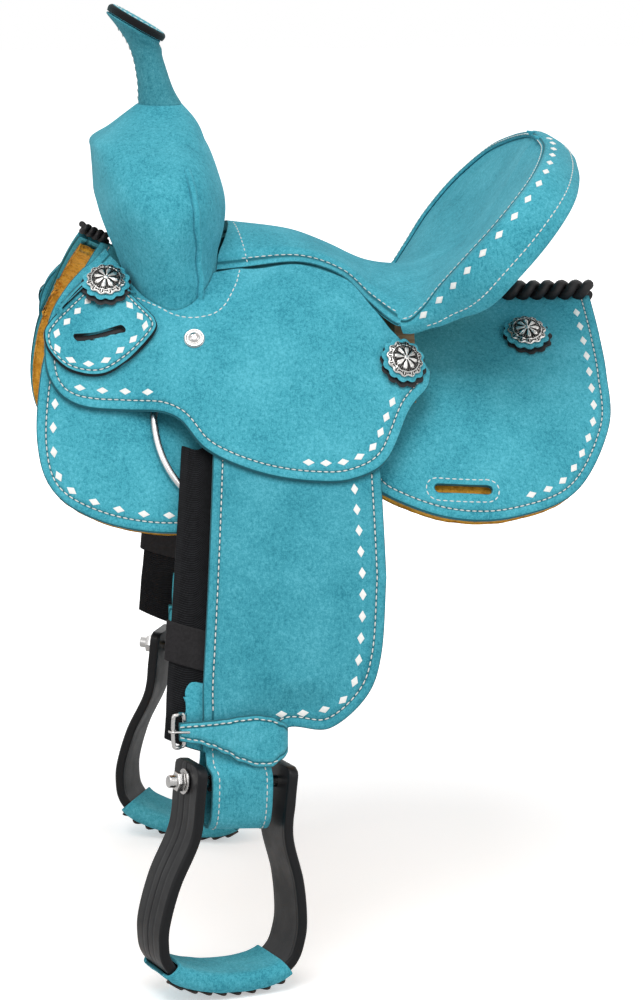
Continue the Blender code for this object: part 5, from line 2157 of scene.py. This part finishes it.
        roll = close_ends(grid("cantle_roll_leather", 240, 54, place))
        points = vertices_of(roll)
        put_value(roll, "cut", np.full(len(points), FAR_FROM_EDGE))
        seam = [self.roll_point(t, 0.02) for t in np.linspace(0, 1, 160)]
        put_value(roll, "rim", self.reach(points, seam))
        dress(smooth(roll, 70), ROLL_SUEDE, Slot.SUEDE, "saddle", "cantle_roll")
        for sign in (-1, 1):
            for around, first, last, count in ((0.055, 0.02, 0.995, 0), (0.47, 0.1, 0.995, 0),
                                               (0.27, 0.12, 0.96, 15)):
                line, normals = [], []
                for t in np.linspace(first, last, 90):
                    here = self.roll_point(t, around)
                    run = (self.roll_point(min(t + 0.01, 1), around)
                           - self.roll_point(max(t - 0.01, 0), around))
                    over = self.roll_point(t, around + 0.01) - self.roll_point(t, around - 0.01)
                    normal = run.cross(over).normalized()
                    centre = self.roll_point(t, 0.7)
                    normal = -normal if normal.dot(here - centre) < 0 else normal
                    here = here + normal * 0.1
                    line.append(Vector((here.x, sign * abs(here.y), here.z)))
                    normals.append(Vector((normal.x, -sign * normal.y, normal.z)))
                if count:
                    needle.lace(line, normals, count)
                else:
                    needle.sew(line, normals)

    def build_back(self) -> None:
        """Model the leather on the back of the cantle."""
        last = len(self.edges) - 1

        def place(u: float, v: float) -> Vector:
            at, across = 8 + (last - 1 - 8) * u, 0.91 * (2 * v - 1)
            return self.point(at, across) - self.normal(at, across) * (self.wall + 15.4)

        back = grid("cantle_back_leather", 60, 110, place, (0.6, 0, -0.8))
        wall = back.modifiers.new("wall", "SOLIDIFY")
        wall.thickness = 3.0 * MM
        wall.offset = -1
        apply_modifiers(back)
        dress(smooth(back, 60), PLAIN_SUEDE, Slot.SUEDE, "saddle", "cantle_back")


# Leathers, hobble and stirrup

@dataclass
class LeatherSet:
    """Webbing stirrup leather, fender, keeper, dee ring and hobble of one side."""

    fender_edges: tuple = (
        ((-87, 138), (-104, 366)), ((-74, 138), (-82, 370)), ((-59, 138), (-61, 367)),
        ((-44, 138), (-43, 340)), ((-16, 138), (-12, 338.5)), ((10, 138), (14, 318)),
        ((23, 138), (25, 290)), ((29, 138), (30, 240)),
    )
    webbing_edges: tuple = (
        ((-111, 163), (-129, 366)), ((-96, 160), (-115, 367)), ((-81, 130), (-100, 367)),
        ((-66, 130), (-85, 366)),
    )
    tab_edges: tuple = (
        ((-113.5, 335), (-113.5, 366)), ((-113, 328), (-113, 366)), ((-109, 322), (-109, 366)),
        ((-102, 320.5), (-102, 366)), ((-90, 320.5), (-90, 366)),
    )
    bend: tuple = ((-0.06, 0.150, -0.099), (-0.06, 0.154, -0.121))
    diamonds: tuple = ((10, 181), (12, 214), (13, 248), (11, 277), (6, 308), (-3, 321), (-18, 327), (-30, 329),
                       (-46, 331))
    dee: Place = (-93, 136)
    dee_size: Place = (74, 62)
    strap_face: float = 212.6
    keeper: Place = (-101.5, 299)
    hobble: tuple = ((-124, -262.0, -274.5), (-108, -261.2, -276.8), (-98, -260.4, -280.2),
                     (-88, -259.4, -284.7), (-77, -257.6, -290.6), (-66, -256.6, -294.2),
                     (-55, -258.0, -294.2), (-47, -262.0, -289.5), (-40, -266.5, -286.0))

    def bent(self, side: Side) -> Blend:
        """Blend of what crosses the hinge line."""
        start, end = self.bend
        return (f"{side.word}_fender_body", (start[0], side.value * start[1], start[2]),
                (end[0], side.value * end[1], end[2]))

    def ribbon(self, name: str, side: Side, path: Sequence[Place], width: float,
               thickness: float) -> Piece:
        """Model a strap that follows a path of (out, up) about the bolt.

        Args:
            name: the piece's name.
            side: the saddle's side.
            path: the strap's middle line.
            width: its width.
            thickness: its thickness.

        Returns:
            The strap.
        """
        x, y, z = TURN.bolt
        line = smooth_curve(path, 6)

        def place(u: float, v: float) -> Vector:
            out, up = line[int(round(v * (len(line) - 1)))]
            return TURN.turned(Vector((x + width * (u - 0.5), y + out, z + up)), side)

        strap = grid(name, 18, len(line) - 1, place, (0, side.value, 0.2))
        scale_uv(strap, width, float(np.linalg.norm(np.diff(line, axis=0), axis=1).sum()))
        wall = strap.modifiers.new("wall", "SOLIDIFY")
        wall.thickness = thickness * MM
        wall.offset = 0
        add_bevel(strap, 0.5 * MM, 2, 60)
        return apply_modifiers(strap)

    def build(self, needle: Needle, side: Side) -> None:
        """Model one side's leathers.

        Args:
            needle: what sews and laces.
            side: the saddle's side.
        """
        self.build_fender(needle, side)
        self.build_webbing(side)
        self.build_keeper(side)
        self.build_dee(side)
        self.build_hobble(needle, side)

    def build_fender(self, needle: Needle, side: Side) -> None:
        """Model the fender and the leg that loops under the bolt.

        Args:
            needle: what sews and laces.
            side: the saddle's side.
        """
        def surface(x: float, s: float) -> Vector:
            return TURN.turned(BACK.point(x, s, BACK.fender, side), side)

        sheet = Sheet(f"{side.word}_fender_leather", side, self.fender_edges, surface, 3.2, 90, 130)
        piece = grid(sheet.name, sheet.columns, sheet.rows, lambda u, v: surface(*sheet.flat(u, v)),
                     (0, side.value, 0.5))
        places = []
        for index in range(len(piece.data.vertices)):
            row, column = divmod(index, sheet.columns + 1)
            places.append(sheet.flat(column / sheet.columns, row / sheet.rows))
        sheet.mark(piece, np.array(places))
        give_wall(piece, 3.2, 0.7)
        # The fender's suede is darker than the rest as painted shade.
        dress(smooth(piece, 50), FENDER_SHADED_SUEDE, Slot.SUEDE, "saddle", f"{side.word}_fender",
              blend=self.bent(side))
        line = sheet.seam(SUEDE.seam)
        line = line[(line[:, 1] > 150) & ~((line[:, 1] > 336) & (line[:, 0] < -50))]
        sheet.sew_line(needle, line)
        row = respaced(smooth_curve(self.diamonds, 8), 14)
        needle.lace(*line_on(surface, row, side), 14)
        path = [(-4.1, 36), (-4.6, 30), (-5.6, 23), (-8.2, 15), (-11.5, 7.5), (-11.6, -8), (-8, -26),
                (0, -33), (8, -26), (11.6, -8), (11.5, 6), (11.2, 15), (10.2, 24), (9.2, 38), (8.8, 50),
                (8.8, 66)]
        leg = self.ribbon(f"{side.word}_fender_leg", side, path, 46.0, 2.9)
        dress(smooth(leg, 50), PLAIN_SUEDE, Slot.SUEDE, f"{side.word}_fender_body")
        self.sew_leg(side, path)
        tab = Sheet(f"{side.word}_fender_tab", side, self.tab_edges,
                    lambda x, s: TURN.turned(BACK.point(x, s, BACK.webbing + 2.2, side), side),
                    1.8, 24, 24, 0.5)
        dress(tab.model(), PLAIN_SUEDE, Slot.SUEDE, f"{side.word}_fender_body")

    def sew_leg(self, side: Side, path: Sequence[Place]) -> None:
        """Sew both edges of the leg.

        Args:
            side: the saddle's side.
            path: middle line of the strap, as (out, up).
        """
        leg = Needle(f"{side.word}_fender_leg", f"{side.word}_fender_body")
        x, y, z = TURN.bolt
        line = smooth_curve(path[1:10], 6)
        runs = np.gradient(line, axis=0)
        for across in (-18.2, 18.2):
            points, normals = [], []
            for (out, up), (dy, dz) in zip(line, runs):
                n = Vector((0, dz, -dy)).normalized()
                if n.y * out + n.z * (up - 4) < 0:
                    n = -n
                place = Vector((x + across, y + out, z + up)) + n * 1.7
                near = TURN.turned(place, side)
                far = TURN.turned(place + n, side)
                points.append(near)
                normals.append((far - near).normalized())
            leg.sew(points, normals)
        leg.finish()

    def build_webbing(self, side: Side) -> None:
        """Model the webbing and its loop round the bolt.

        Args:
            side: the saddle's side.
        """
        def surface(x: float, s: float) -> Vector:
            return TURN.turned(BACK.point(x, s, BACK.webbing, side), side)

        sheet = Sheet(f"{side.word}_stirrup_webbing", side, self.webbing_edges, surface, 2.5, 30, 150)
        web = grid(sheet.name, sheet.columns, sheet.rows, lambda u, v: surface(*sheet.flat(u, v)),
                   (0, side.value, 0.5))
        scale_uv(web, 44, 236)
        give_wall(web, 2.5, 0.5)
        dress(smooth(web, 50), WEBBING, Slot.WEBBING, "saddle", f"{side.word}_stirrup_leather",
              f"{side.word}_leather_loop", blend=self.bent(side))
        eye = 6.25
        hook = [(1.2, 36.0), (0.8, 30.0), (0.4, 23.0), (0.0, 15.0), (-4.0, 7.5)]
        for degrees in range(172, 410, 34):
            turn = math.radians(degrees)
            hook.append((eye * math.cos(turn), eye * math.sin(turn)))
        loop = self.ribbon(f"{side.word}_webbing_eye", side, hook, 42.0, 2.1)
        dress(smooth(loop, 50), WEBBING, Slot.WEBBING, f"{side.word}_fender_body")

    def build_keeper(self, side: Side) -> None:
        """Model the leather keeper that holds the strap's end.

        Args:
            side: the saddle's side.
        """
        x, s = self.keeper
        half, high, low = 24.8, BACK.keeper - 0.35, BACK.webbing - 2.5 - 2.0
        ring = rounded_ring(half, low, high, 2.2, 65, -1)

        def place(u: float, v: float) -> Vector:
            across, lift = ring[int(round(u * 64))]
            share = v - 0.5
            return BACK.point(x + across - 2.2 * share, s + 27 * share, lift, side)

        keeper = grid(f"{side.word}_keeper_strap", 64, 16, place)
        give_wall(keeper, 1.3, 0.4)
        dress(smooth(keeper, 50), KEEPER_LEATHER, Slot.BLACK_LEATHER, f"{side.word}_keeper_body",
              f"{side.word}_leather_keeper")

    def build_dee(self, side: Side) -> None:
        """Model the stainless rigging dee.

        Args:
            side: the saddle's side.
        """
        x, s = self.dee
        half, corner = self.dee_size[0] / 2, 9.0
        outline = []
        for angle in range(180, -1, -6):
            turn = math.radians(angle)
            outline.append((x + half * math.cos(turn), s + corner
                            + (self.dee_size[1] - corner) * math.sin(turn) ** 0.9))
        outline += [(x + half - 2, s + 3), (x + half - corner, s), (x - half + corner, s),
                    (x - half + 2, s + 3)]
        ring = respaced(smooth_curve(outline, 3, closed=True), 120)
        dee = tube(f"{side.word}_rigging_dee", [BACK.point(a, b, BACK.dee + 0.2, side) for a, b in ring],
                   2.8, closed=True, resolution=5)
        dress(dee, STAINLESS, Slot.STEEL, "saddle", f"{side.word}_dee_ring")

    def build_hobble(self, needle: Needle, side: Side) -> None:
        """Model the hobble strap, its stitches, the buckle and the tongue.

        Args:
            needle: what sews and laces.
            side: the saddle's side.
        """
        body = f"{side.word}_fender_body"
        front, rear, outer, inner = -121.0, -55.0, self.strap_face, 182.0
        radius = (outer - inner) / 2
        path = [(front + (rear - front) * t / 8, outer) for t in range(9)]
        for degrees in range(15, 180, 15):
            turn = math.radians(degrees)
            path.append((rear + radius * math.sin(turn), inner + radius + radius * math.cos(turn)))
        path += [(rear - 12 * t, inner) for t in range(5)]
        fine = respaced(np.array(path, float), 121)
        tops = [(a, b) for a, b, _ in self.hobble]
        lows = [(a, c) for a, _, c in self.hobble]

        def ends(x: float, y: float) -> Place:
            shown = x if y > inner + radius * 0.6 else -40
            return between(shown, tops), between(shown, lows)

        def point(x: float, y: float, v: float) -> Vector:
            top, low = ends(x, y)
            return TURN.turned(Vector((x, y, top + (low - top) * v)), side, 0.5)

        def place(u: float, v: float) -> Vector:
            x, y = fine[int(round(u * 120))]
            return point(x, y, v)

        strap = grid(f"{side.word}_hobble_leather", 120, 30, place)
        face_out(strap)
        middle = strap.data.polygons[3]
        if middle.normal.y * side.value < 0:
            begin_edit(strap)
            bpy.ops.mesh.flip_normals()
            end_edit()
        cuts = []
        for index in range(len(strap.data.vertices)):
            row, column = divmod(index, 121)
            top, low = ends(*fine[column])
            cuts.append(min(row, 30 - row) / 30 * (top - low) if 0 < column < 120 else 0.0)
        put_value(strap, "cut", cuts)
        put_value(strap, "rim", cuts)
        give_wall(strap, 3.2, 0.7)
        dress(smooth(strap, 50), STRAP_SUEDE, Slot.SUEDE, body, f"{side.word}_hobble_strap")
        for upper in (True, False):
            points = []
            for x in np.linspace(front + 2, rear + 3, 40):
                top, low = ends(x, outer)
                points.append(point(x, outer, 2.7 / (top - low) if upper else 1 - 2.7 / (top - low)))
            near = TURN.turned(Vector((-80, 210, -275)), side, 0.5)
            far = TURN.turned(Vector((-80, 211, -275)), side, 0.5)
            needle.sew(points, [(far - near).normalized()] * len(points))
        self.build_buckle(side, body)

    def build_buckle(self, side: Side, body: str) -> None:
        """Model the buckle's frame and its tongue.

        Args:
            side: the saddle's side.
            body: the body that it moves with.
        """
        bar, low, high, wide, corner = -125.0, -279.6, -256.4, 8.5, 2.5
        near = self.strap_face - 1.6
        far = near - 4.1
        ring = [(bar, near, low + corner), (bar, near, high - corner), (bar + corner, near - 0.6, high),
                (bar + wide - corner, far + 0.6, high), (bar + wide, far, high - corner),
                (bar + wide, far, low + corner), (bar + wide - corner, far + 0.6, low),
                (bar + corner, near - 0.6, low)]
        ring = respaced(smooth_curve(ring, 5, closed=True), 70)
        frame_piece = tube(f"{side.word}_hobble_buckle_frame",
                           [TURN.turned(Vector(p), side, 0.5) for p in ring], 1.5, closed=True)
        dress(frame_piece, CHROME, Slot.STEEL, body, f"{side.word}_hobble_buckle")
        middle = (low + high) / 2
        eye = 1.5 + 0.5 + 0.9
        hook = []
        for degrees in range(-60, 215, 15):
            turn = math.radians(degrees)
            hook.append((bar - eye * math.sin(turn), near - eye * math.cos(turn), middle))
        hook.append((bar + 11.0, near + eye * 0.98, middle))
        tongue = tube(f"{side.word}_buckle_pin", [TURN.turned(Vector(p), side, 0.5) for p in hook], 0.9)
        dress(tongue, CHROME, Slot.STEEL, f"{side.word}_tongue_body", f"{side.word}_buckle_tongue")


@dataclass
class Stirrup:
    """Moulded stirrup with its bolt and laced tread cover."""

    neck: float = 38.5
    belly: float = 56.5
    drop: float = 145.0
    head: float = 13.5
    depth: float = 44.0
    wall: float = 7.5
    tread_reach: float = 47.0
    cover: float = 2.4
    gap: float = 0.8

    def __post_init__(self) -> None:
        """Smooth the bow's middle line."""
        n, b = self.neck, self.belly
        half = [(n, self.head), (n, self.head - 7), (n, -10), (n + 1, -36), (b * 0.9, -68), (b, -97),
                (b * 0.99, -114), (b * 0.92, -127), (b * 0.74, -137), (b * 0.42, -143), (0, -self.drop)]
        full = half + [(-x, z) for x, z in reversed(half[:-1])]
        self.path = respaced(smooth_curve(full, 12), 181)
        run = np.gradient(self.path, axis=0)
        run /= np.linalg.norm(run, axis=1)[:, None]
        self.inward = np.stack([run[:, 1], -run[:, 0]], axis=1)
        middle = len(self.path) // 2
        if self.inward[middle][1] < 0:
            self.inward = -self.inward

    def at(self, u: float) -> tuple[np.ndarray, np.ndarray]:
        """Point of the bow's outer line and its inward way.

        Args:
            u: share along the bow.

        Returns:
            The point and the way.
        """
        index = u * (len(self.path) - 1)
        low = min(int(index), len(self.path) - 2)
        share = index - low
        return (self.path[low] + (self.path[low + 1] - self.path[low]) * share,
                self.inward[low] + (self.inward[low + 1] - self.inward[low]) * share)

    def ring(self) -> np.ndarray:
        """Section of the bow, as (across, inward), with rounded edges and ridges.

        Returns:
            The section, one point a row.
        """
        half = self.depth / 2
        fine = rounded_ring(half, 0.0, self.wall, 2.0, 129)
        for index, (across, depth) in enumerate(fine):
            if abs(across) < half - 3 and depth < 1:
                ridge = 0.5 * math.exp(-(across / 0.7) ** 2)
                fine[index][1] += ridge + 0.18 * math.exp(-((abs(across) - 9) / 1.2) ** 2)
        return fine

    def build(self, side: Side) -> None:
        """Model one stirrup.

        Args:
            side: the saddle's side.
        """
        body = f"{side.word}_stirrup_body"
        spot = TURN.frame(side)
        ring = self.ring()

        def place(u: float, v: float) -> Vector:
            (x, z), (ix, iz) = self.at(v)
            across, depth = ring[int(round(u * 128))]
            arch = max(z - self.head + 6, 0) / 6
            narrow = 1 - 0.30 * (1 - math.sqrt(max(1 - arch ** 2, 0)))
            if abs(across) > 18 and -128 < z < -20:
                depth = depth + 0.25 * math.sin(depth * 2.2)
            return spot @ Vector((x + ix * depth, across * narrow, z + iz * depth))

        bow = close_ends(grid(f"{side.word}_stirrup_bow", 128, 180, place))
        add_bevel(bow, 1.2 * MM, 3, 60)
        apply_modifiers(bow)
        dress(smooth(bow, 50), PLASTIC, Slot.PLASTIC, body, f"{side.word}_stirrup")
        self.build_bolt(side, spot, body)
        self.build_cover(side, spot, body)

    def build_bolt(self, side: Side, spot: Matrix, body: str) -> None:
        """Model the bolt, its nut, washer and head.

        Args:
            side: the saddle's side.
            spot: frame at the bolt.
            body: the body that it moves with.
        """
        face = self.neck + 0.4
        parts = []
        for radius, start, end, count, rounding in (
                (4.4, -face - 13, face + 2, 32, 0.8), (9.0, -face - 1.6, -face, 48, 0.4),
                (7.2, -face - 7.6, -face - 1.7, 6, 0.9), (8.2, face, face + 3.4, 48, 1.2)):
            bpy.ops.object.select_all(action="DESELECT")
            bpy.ops.mesh.primitive_cylinder_add(vertices=count, radius=radius, depth=end - start)
            part = named(f"bolt_part_{len(parts)}")
            add_bevel(part, rounding, 3, 70)
            apply_modifiers(part)
            middle = Matrix.Translation(((start + end) / 2, 0, 0))
            part.data.transform(middle @ Matrix.Rotation(math.pi / 2, 4, "Y"))
            parts.append(part)
        bolt = join(parts, f"{side.word}_stirrup_bolt_set")
        move_mesh(bolt, spot)
        dress(smooth(bolt, 35), CHROME, Slot.STEEL, body, f"{side.word}_stirrup_bolt")

    def build_cover(self, side: Side, spot: Matrix, body: str) -> None:
        """Model the turquoise tread cover and the lace under it.

        Args:
            side: the saddle's side.
            spot: frame at the bolt.
            body: the body that it moves with.
        """
        half = self.depth / 2 + self.gap + self.cover
        low, high = -self.gap - self.cover, self.wall + 2 * self.gap + self.cover
        ring = rounded_ring(half, low, high, 6.3, 97)
        shown = [u for u in np.linspace(0, 1, 721)
                 if abs(self.at(u)[0][0]) < self.tread_reach and self.at(u)[0][1] < -120]
        first, last = shown[0], shown[-1]

        def place(u: float, v: float) -> Vector:
            (x, z), (ix, iz) = self.at(first + (last - first) * v)
            across, depth = ring[int(round(u * 96))]
            soft = 0.5 * noise.noise(Vector((x, across, depth)) * 0.09)
            depth = depth + (soft if depth > 4 else -soft) * 0.8
            return spot @ Vector((x + ix * depth, across, z + iz * depth))

        cover = grid(f"{side.word}_tread_leather", 96, 70, place)
        face_out(cover)
        cuts = [min(index // 97, 70 - index // 97) * 1.4 for index in range(len(cover.data.vertices))]
        put_value(cover, "cut", np.where(np.array(cuts) < 0.5, 0.0, FAR_FROM_EDGE))
        give_wall(cover, self.cover, 0.7)
        dress(smooth(cover, 60), PLAIN_SUEDE, Slot.SUEDE, body, f"{side.word}_tread_cover")
        points = []
        for t in np.linspace(0.03, 0.97, 160):
            (x, z), (ix, iz) = self.at(first + (last - first) * t)
            swing = 4.2 * math.sin(t * 2 * math.pi * 9)
            depth = low - 0.9
            points.append(spot @ Vector((x + ix * depth, swing - self.depth * 0.36, z + iz * depth)))
        lace = tube(f"{side.word}_tread_lace", points, 1.2, resolution=3)
        dress(lace, BROWN_LACE, Slot.BLACK_LEATHER, body)


# Studio

@dataclass
class Studio:
    """Camera, lamps, floor and white background."""

    azimuth: float = -5.0
    elevation: float = 11.0
    distance: float = 3.0
    target: tuple[float, float, float] = (0.0, 0.0, -0.146)
    frame_height: float = 0.745

    def build(self) -> None:
        """Set up the studio."""
        a, e = math.radians(self.azimuth), math.radians(self.elevation)
        target = Vector(self.target)
        away = Vector((math.sin(a) * math.cos(e), -math.cos(a) * math.cos(e), math.sin(e)))
        camera = bpy.data.objects.new("camera", bpy.data.cameras.new("camera"))
        bpy.context.scene.collection.objects.link(camera)
        camera.location = target + away * self.distance
        camera.rotation_euler = (-away).to_track_quat("-Z", "Y").to_euler()
        camera.data.sensor_fit = "VERTICAL"
        camera.data.sensor_height = 36
        camera.data.lens = 36 * self.distance / self.frame_height
        camera.data.clip_end = 50
        bpy.context.scene.camera = camera
        bpy.context.scene.view_settings.view_transform = "Standard"
        for name, place, size, watts in (
                ("key_lamp", (-0.45, -1.8, 2.6), 1.9, 63), ("fill_lamp", (2.4, -1.9, 1.0), 2.2, 19),
                ("front_lamp", (-2.5, -1.5, 0.9), 1.8, 9), ("rear_lamp", (0.5, 2.6, 1.4), 2.2, 14)):
            lamp = bpy.data.objects.new(name, bpy.data.lights.new(name, "AREA"))
            bpy.context.scene.collection.objects.link(lamp)
            lamp.location = place
            lamp.rotation_euler = (target - Vector(place)).to_track_quat("-Z", "Y").to_euler()
            lamp.data.size = size
            lamp.data.energy = watts
        self.build_world()
        self.build_floor()

    @staticmethod
    def build_world() -> None:
        """Make the world white where it shows and soft where it lights."""
        world = bpy.data.worlds.new("studio")
        bpy.context.scene.world = world
        world.use_nodes = True
        tree = world.node_tree
        tree.nodes.clear()
        path = tree.nodes.new("ShaderNodeLightPath")
        shown = None
        for name in ("Is Camera Ray", "Is Glossy Ray", "Is Transmission Ray"):
            if shown is None:
                shown = path.outputs[name]
                continue
            both = tree.nodes.new("ShaderNodeMath")
            both.operation = "MAXIMUM"
            tree.links.new(shown, both.inputs[0])
            tree.links.new(path.outputs[name], both.inputs[1])
            shown = both.outputs[0]
        light = tree.nodes.new("ShaderNodeBackground")
        light.inputs["Strength"].default_value = 0.42
        white = tree.nodes.new("ShaderNodeBackground")
        for node in (light, white):
            node.inputs["Color"].default_value = (1, 1, 1, 1)
        mix = tree.nodes.new("ShaderNodeMixShader")
        output = tree.nodes.new("ShaderNodeOutputWorld")
        tree.links.new(shown, mix.inputs[0])
        tree.links.new(light.outputs[0], mix.inputs[1])
        tree.links.new(white.outputs[0], mix.inputs[2])
        tree.links.new(mix.outputs[0], output.inputs[0])

    @staticmethod
    def build_floor() -> None:
        """Lay the pale floor just under the stirrups."""
        bpy.ops.object.select_all(action="DESELECT")
        bpy.ops.mesh.primitive_plane_add(size=16, location=(0, 0, CAD_BOX[0][2] - 0.004))
        floor = named("studio_floor")
        material = bpy.data.materials.new("pale_floor")
        material.use_nodes = True
        tree = material.node_tree
        surface = tree.nodes["Principled BSDF"]
        surface.inputs["Base Color"].default_value = (0.86, 0.86, 0.86, 1)
        surface.inputs["Roughness"].default_value = 1.0
        surface.inputs["Specular IOR Level"].default_value = 0.0
        surface.inputs["Emission Color"].default_value = (1, 1, 1, 1)
        path = tree.nodes.new("ShaderNodeLightPath")
        glow = tree.nodes.new("ShaderNodeMath")
        glow.operation = "MULTIPLY"
        tree.links.new(path.outputs["Is Camera Ray"], glow.inputs[0])
        reach = tree.nodes.new("ShaderNodeVectorMath")
        reach.operation = "LENGTH"
        tree.links.new(tree.nodes.new("ShaderNodeTexCoord").outputs["Object"], reach.inputs[0])
        fade = tree.nodes.new("ShaderNodeMapRange")
        fade.interpolation_type = "SMOOTHSTEP"
        for name, value in (("From Min", 0.25), ("From Max", 1.3), ("To Min", 0.45), ("To Max", 1.0)):
            fade.inputs[name].default_value = value
        tree.links.new(reach.outputs["Value"], fade.inputs["Value"])
        tree.links.new(fade.outputs[0], glow.inputs[1])
        tree.links.new(glow.outputs[0], surface.inputs["Emission Strength"])
        floor.data.materials.append(material)


def finish_tree() -> None:
    """Give the CAD nodes that stay their materials."""
    finishes = {"tree_fork": TIMBER, "tree_cantle": TIMBER, "left_tree_bar": TIMBER,
                "right_tree_bar": TIMBER, "horn_core": IRON, "ground_seat": GROUND_LEATHER,
                "left_rigging_strap": KEEPER_LEATHER, "right_rigging_strap": KEEPER_LEATHER}
    for name, finish in finishes.items():
        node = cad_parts[name]
        node.data.materials.clear()
        node.data.materials.append(material_of(finish))


def main() -> None:
    """Build the saddle's pieces in order."""
    logging.basicConfig(level=logging.INFO, format="%(name)s: %(message)s")
    Studio().build()
    leathers = LeatherSet()
    body = Needle("saddle", "saddle")
    fork = ForkSet().build(body)
    SeatSet().build(body, fork)
    for side in Side:
        SkirtSet().build(body, side)
        JockeySet().build(body, side, fork)
        thread = Needle(f"{side.word}_fender", "saddle", leathers.bent(side))
        leathers.build(thread, side)
        thread.finish()
        Stirrup().build(side)
    bpy.data.objects.remove(fork)
    body.finish()
    finish_tree()


if __name__ == "__main__":
    main()
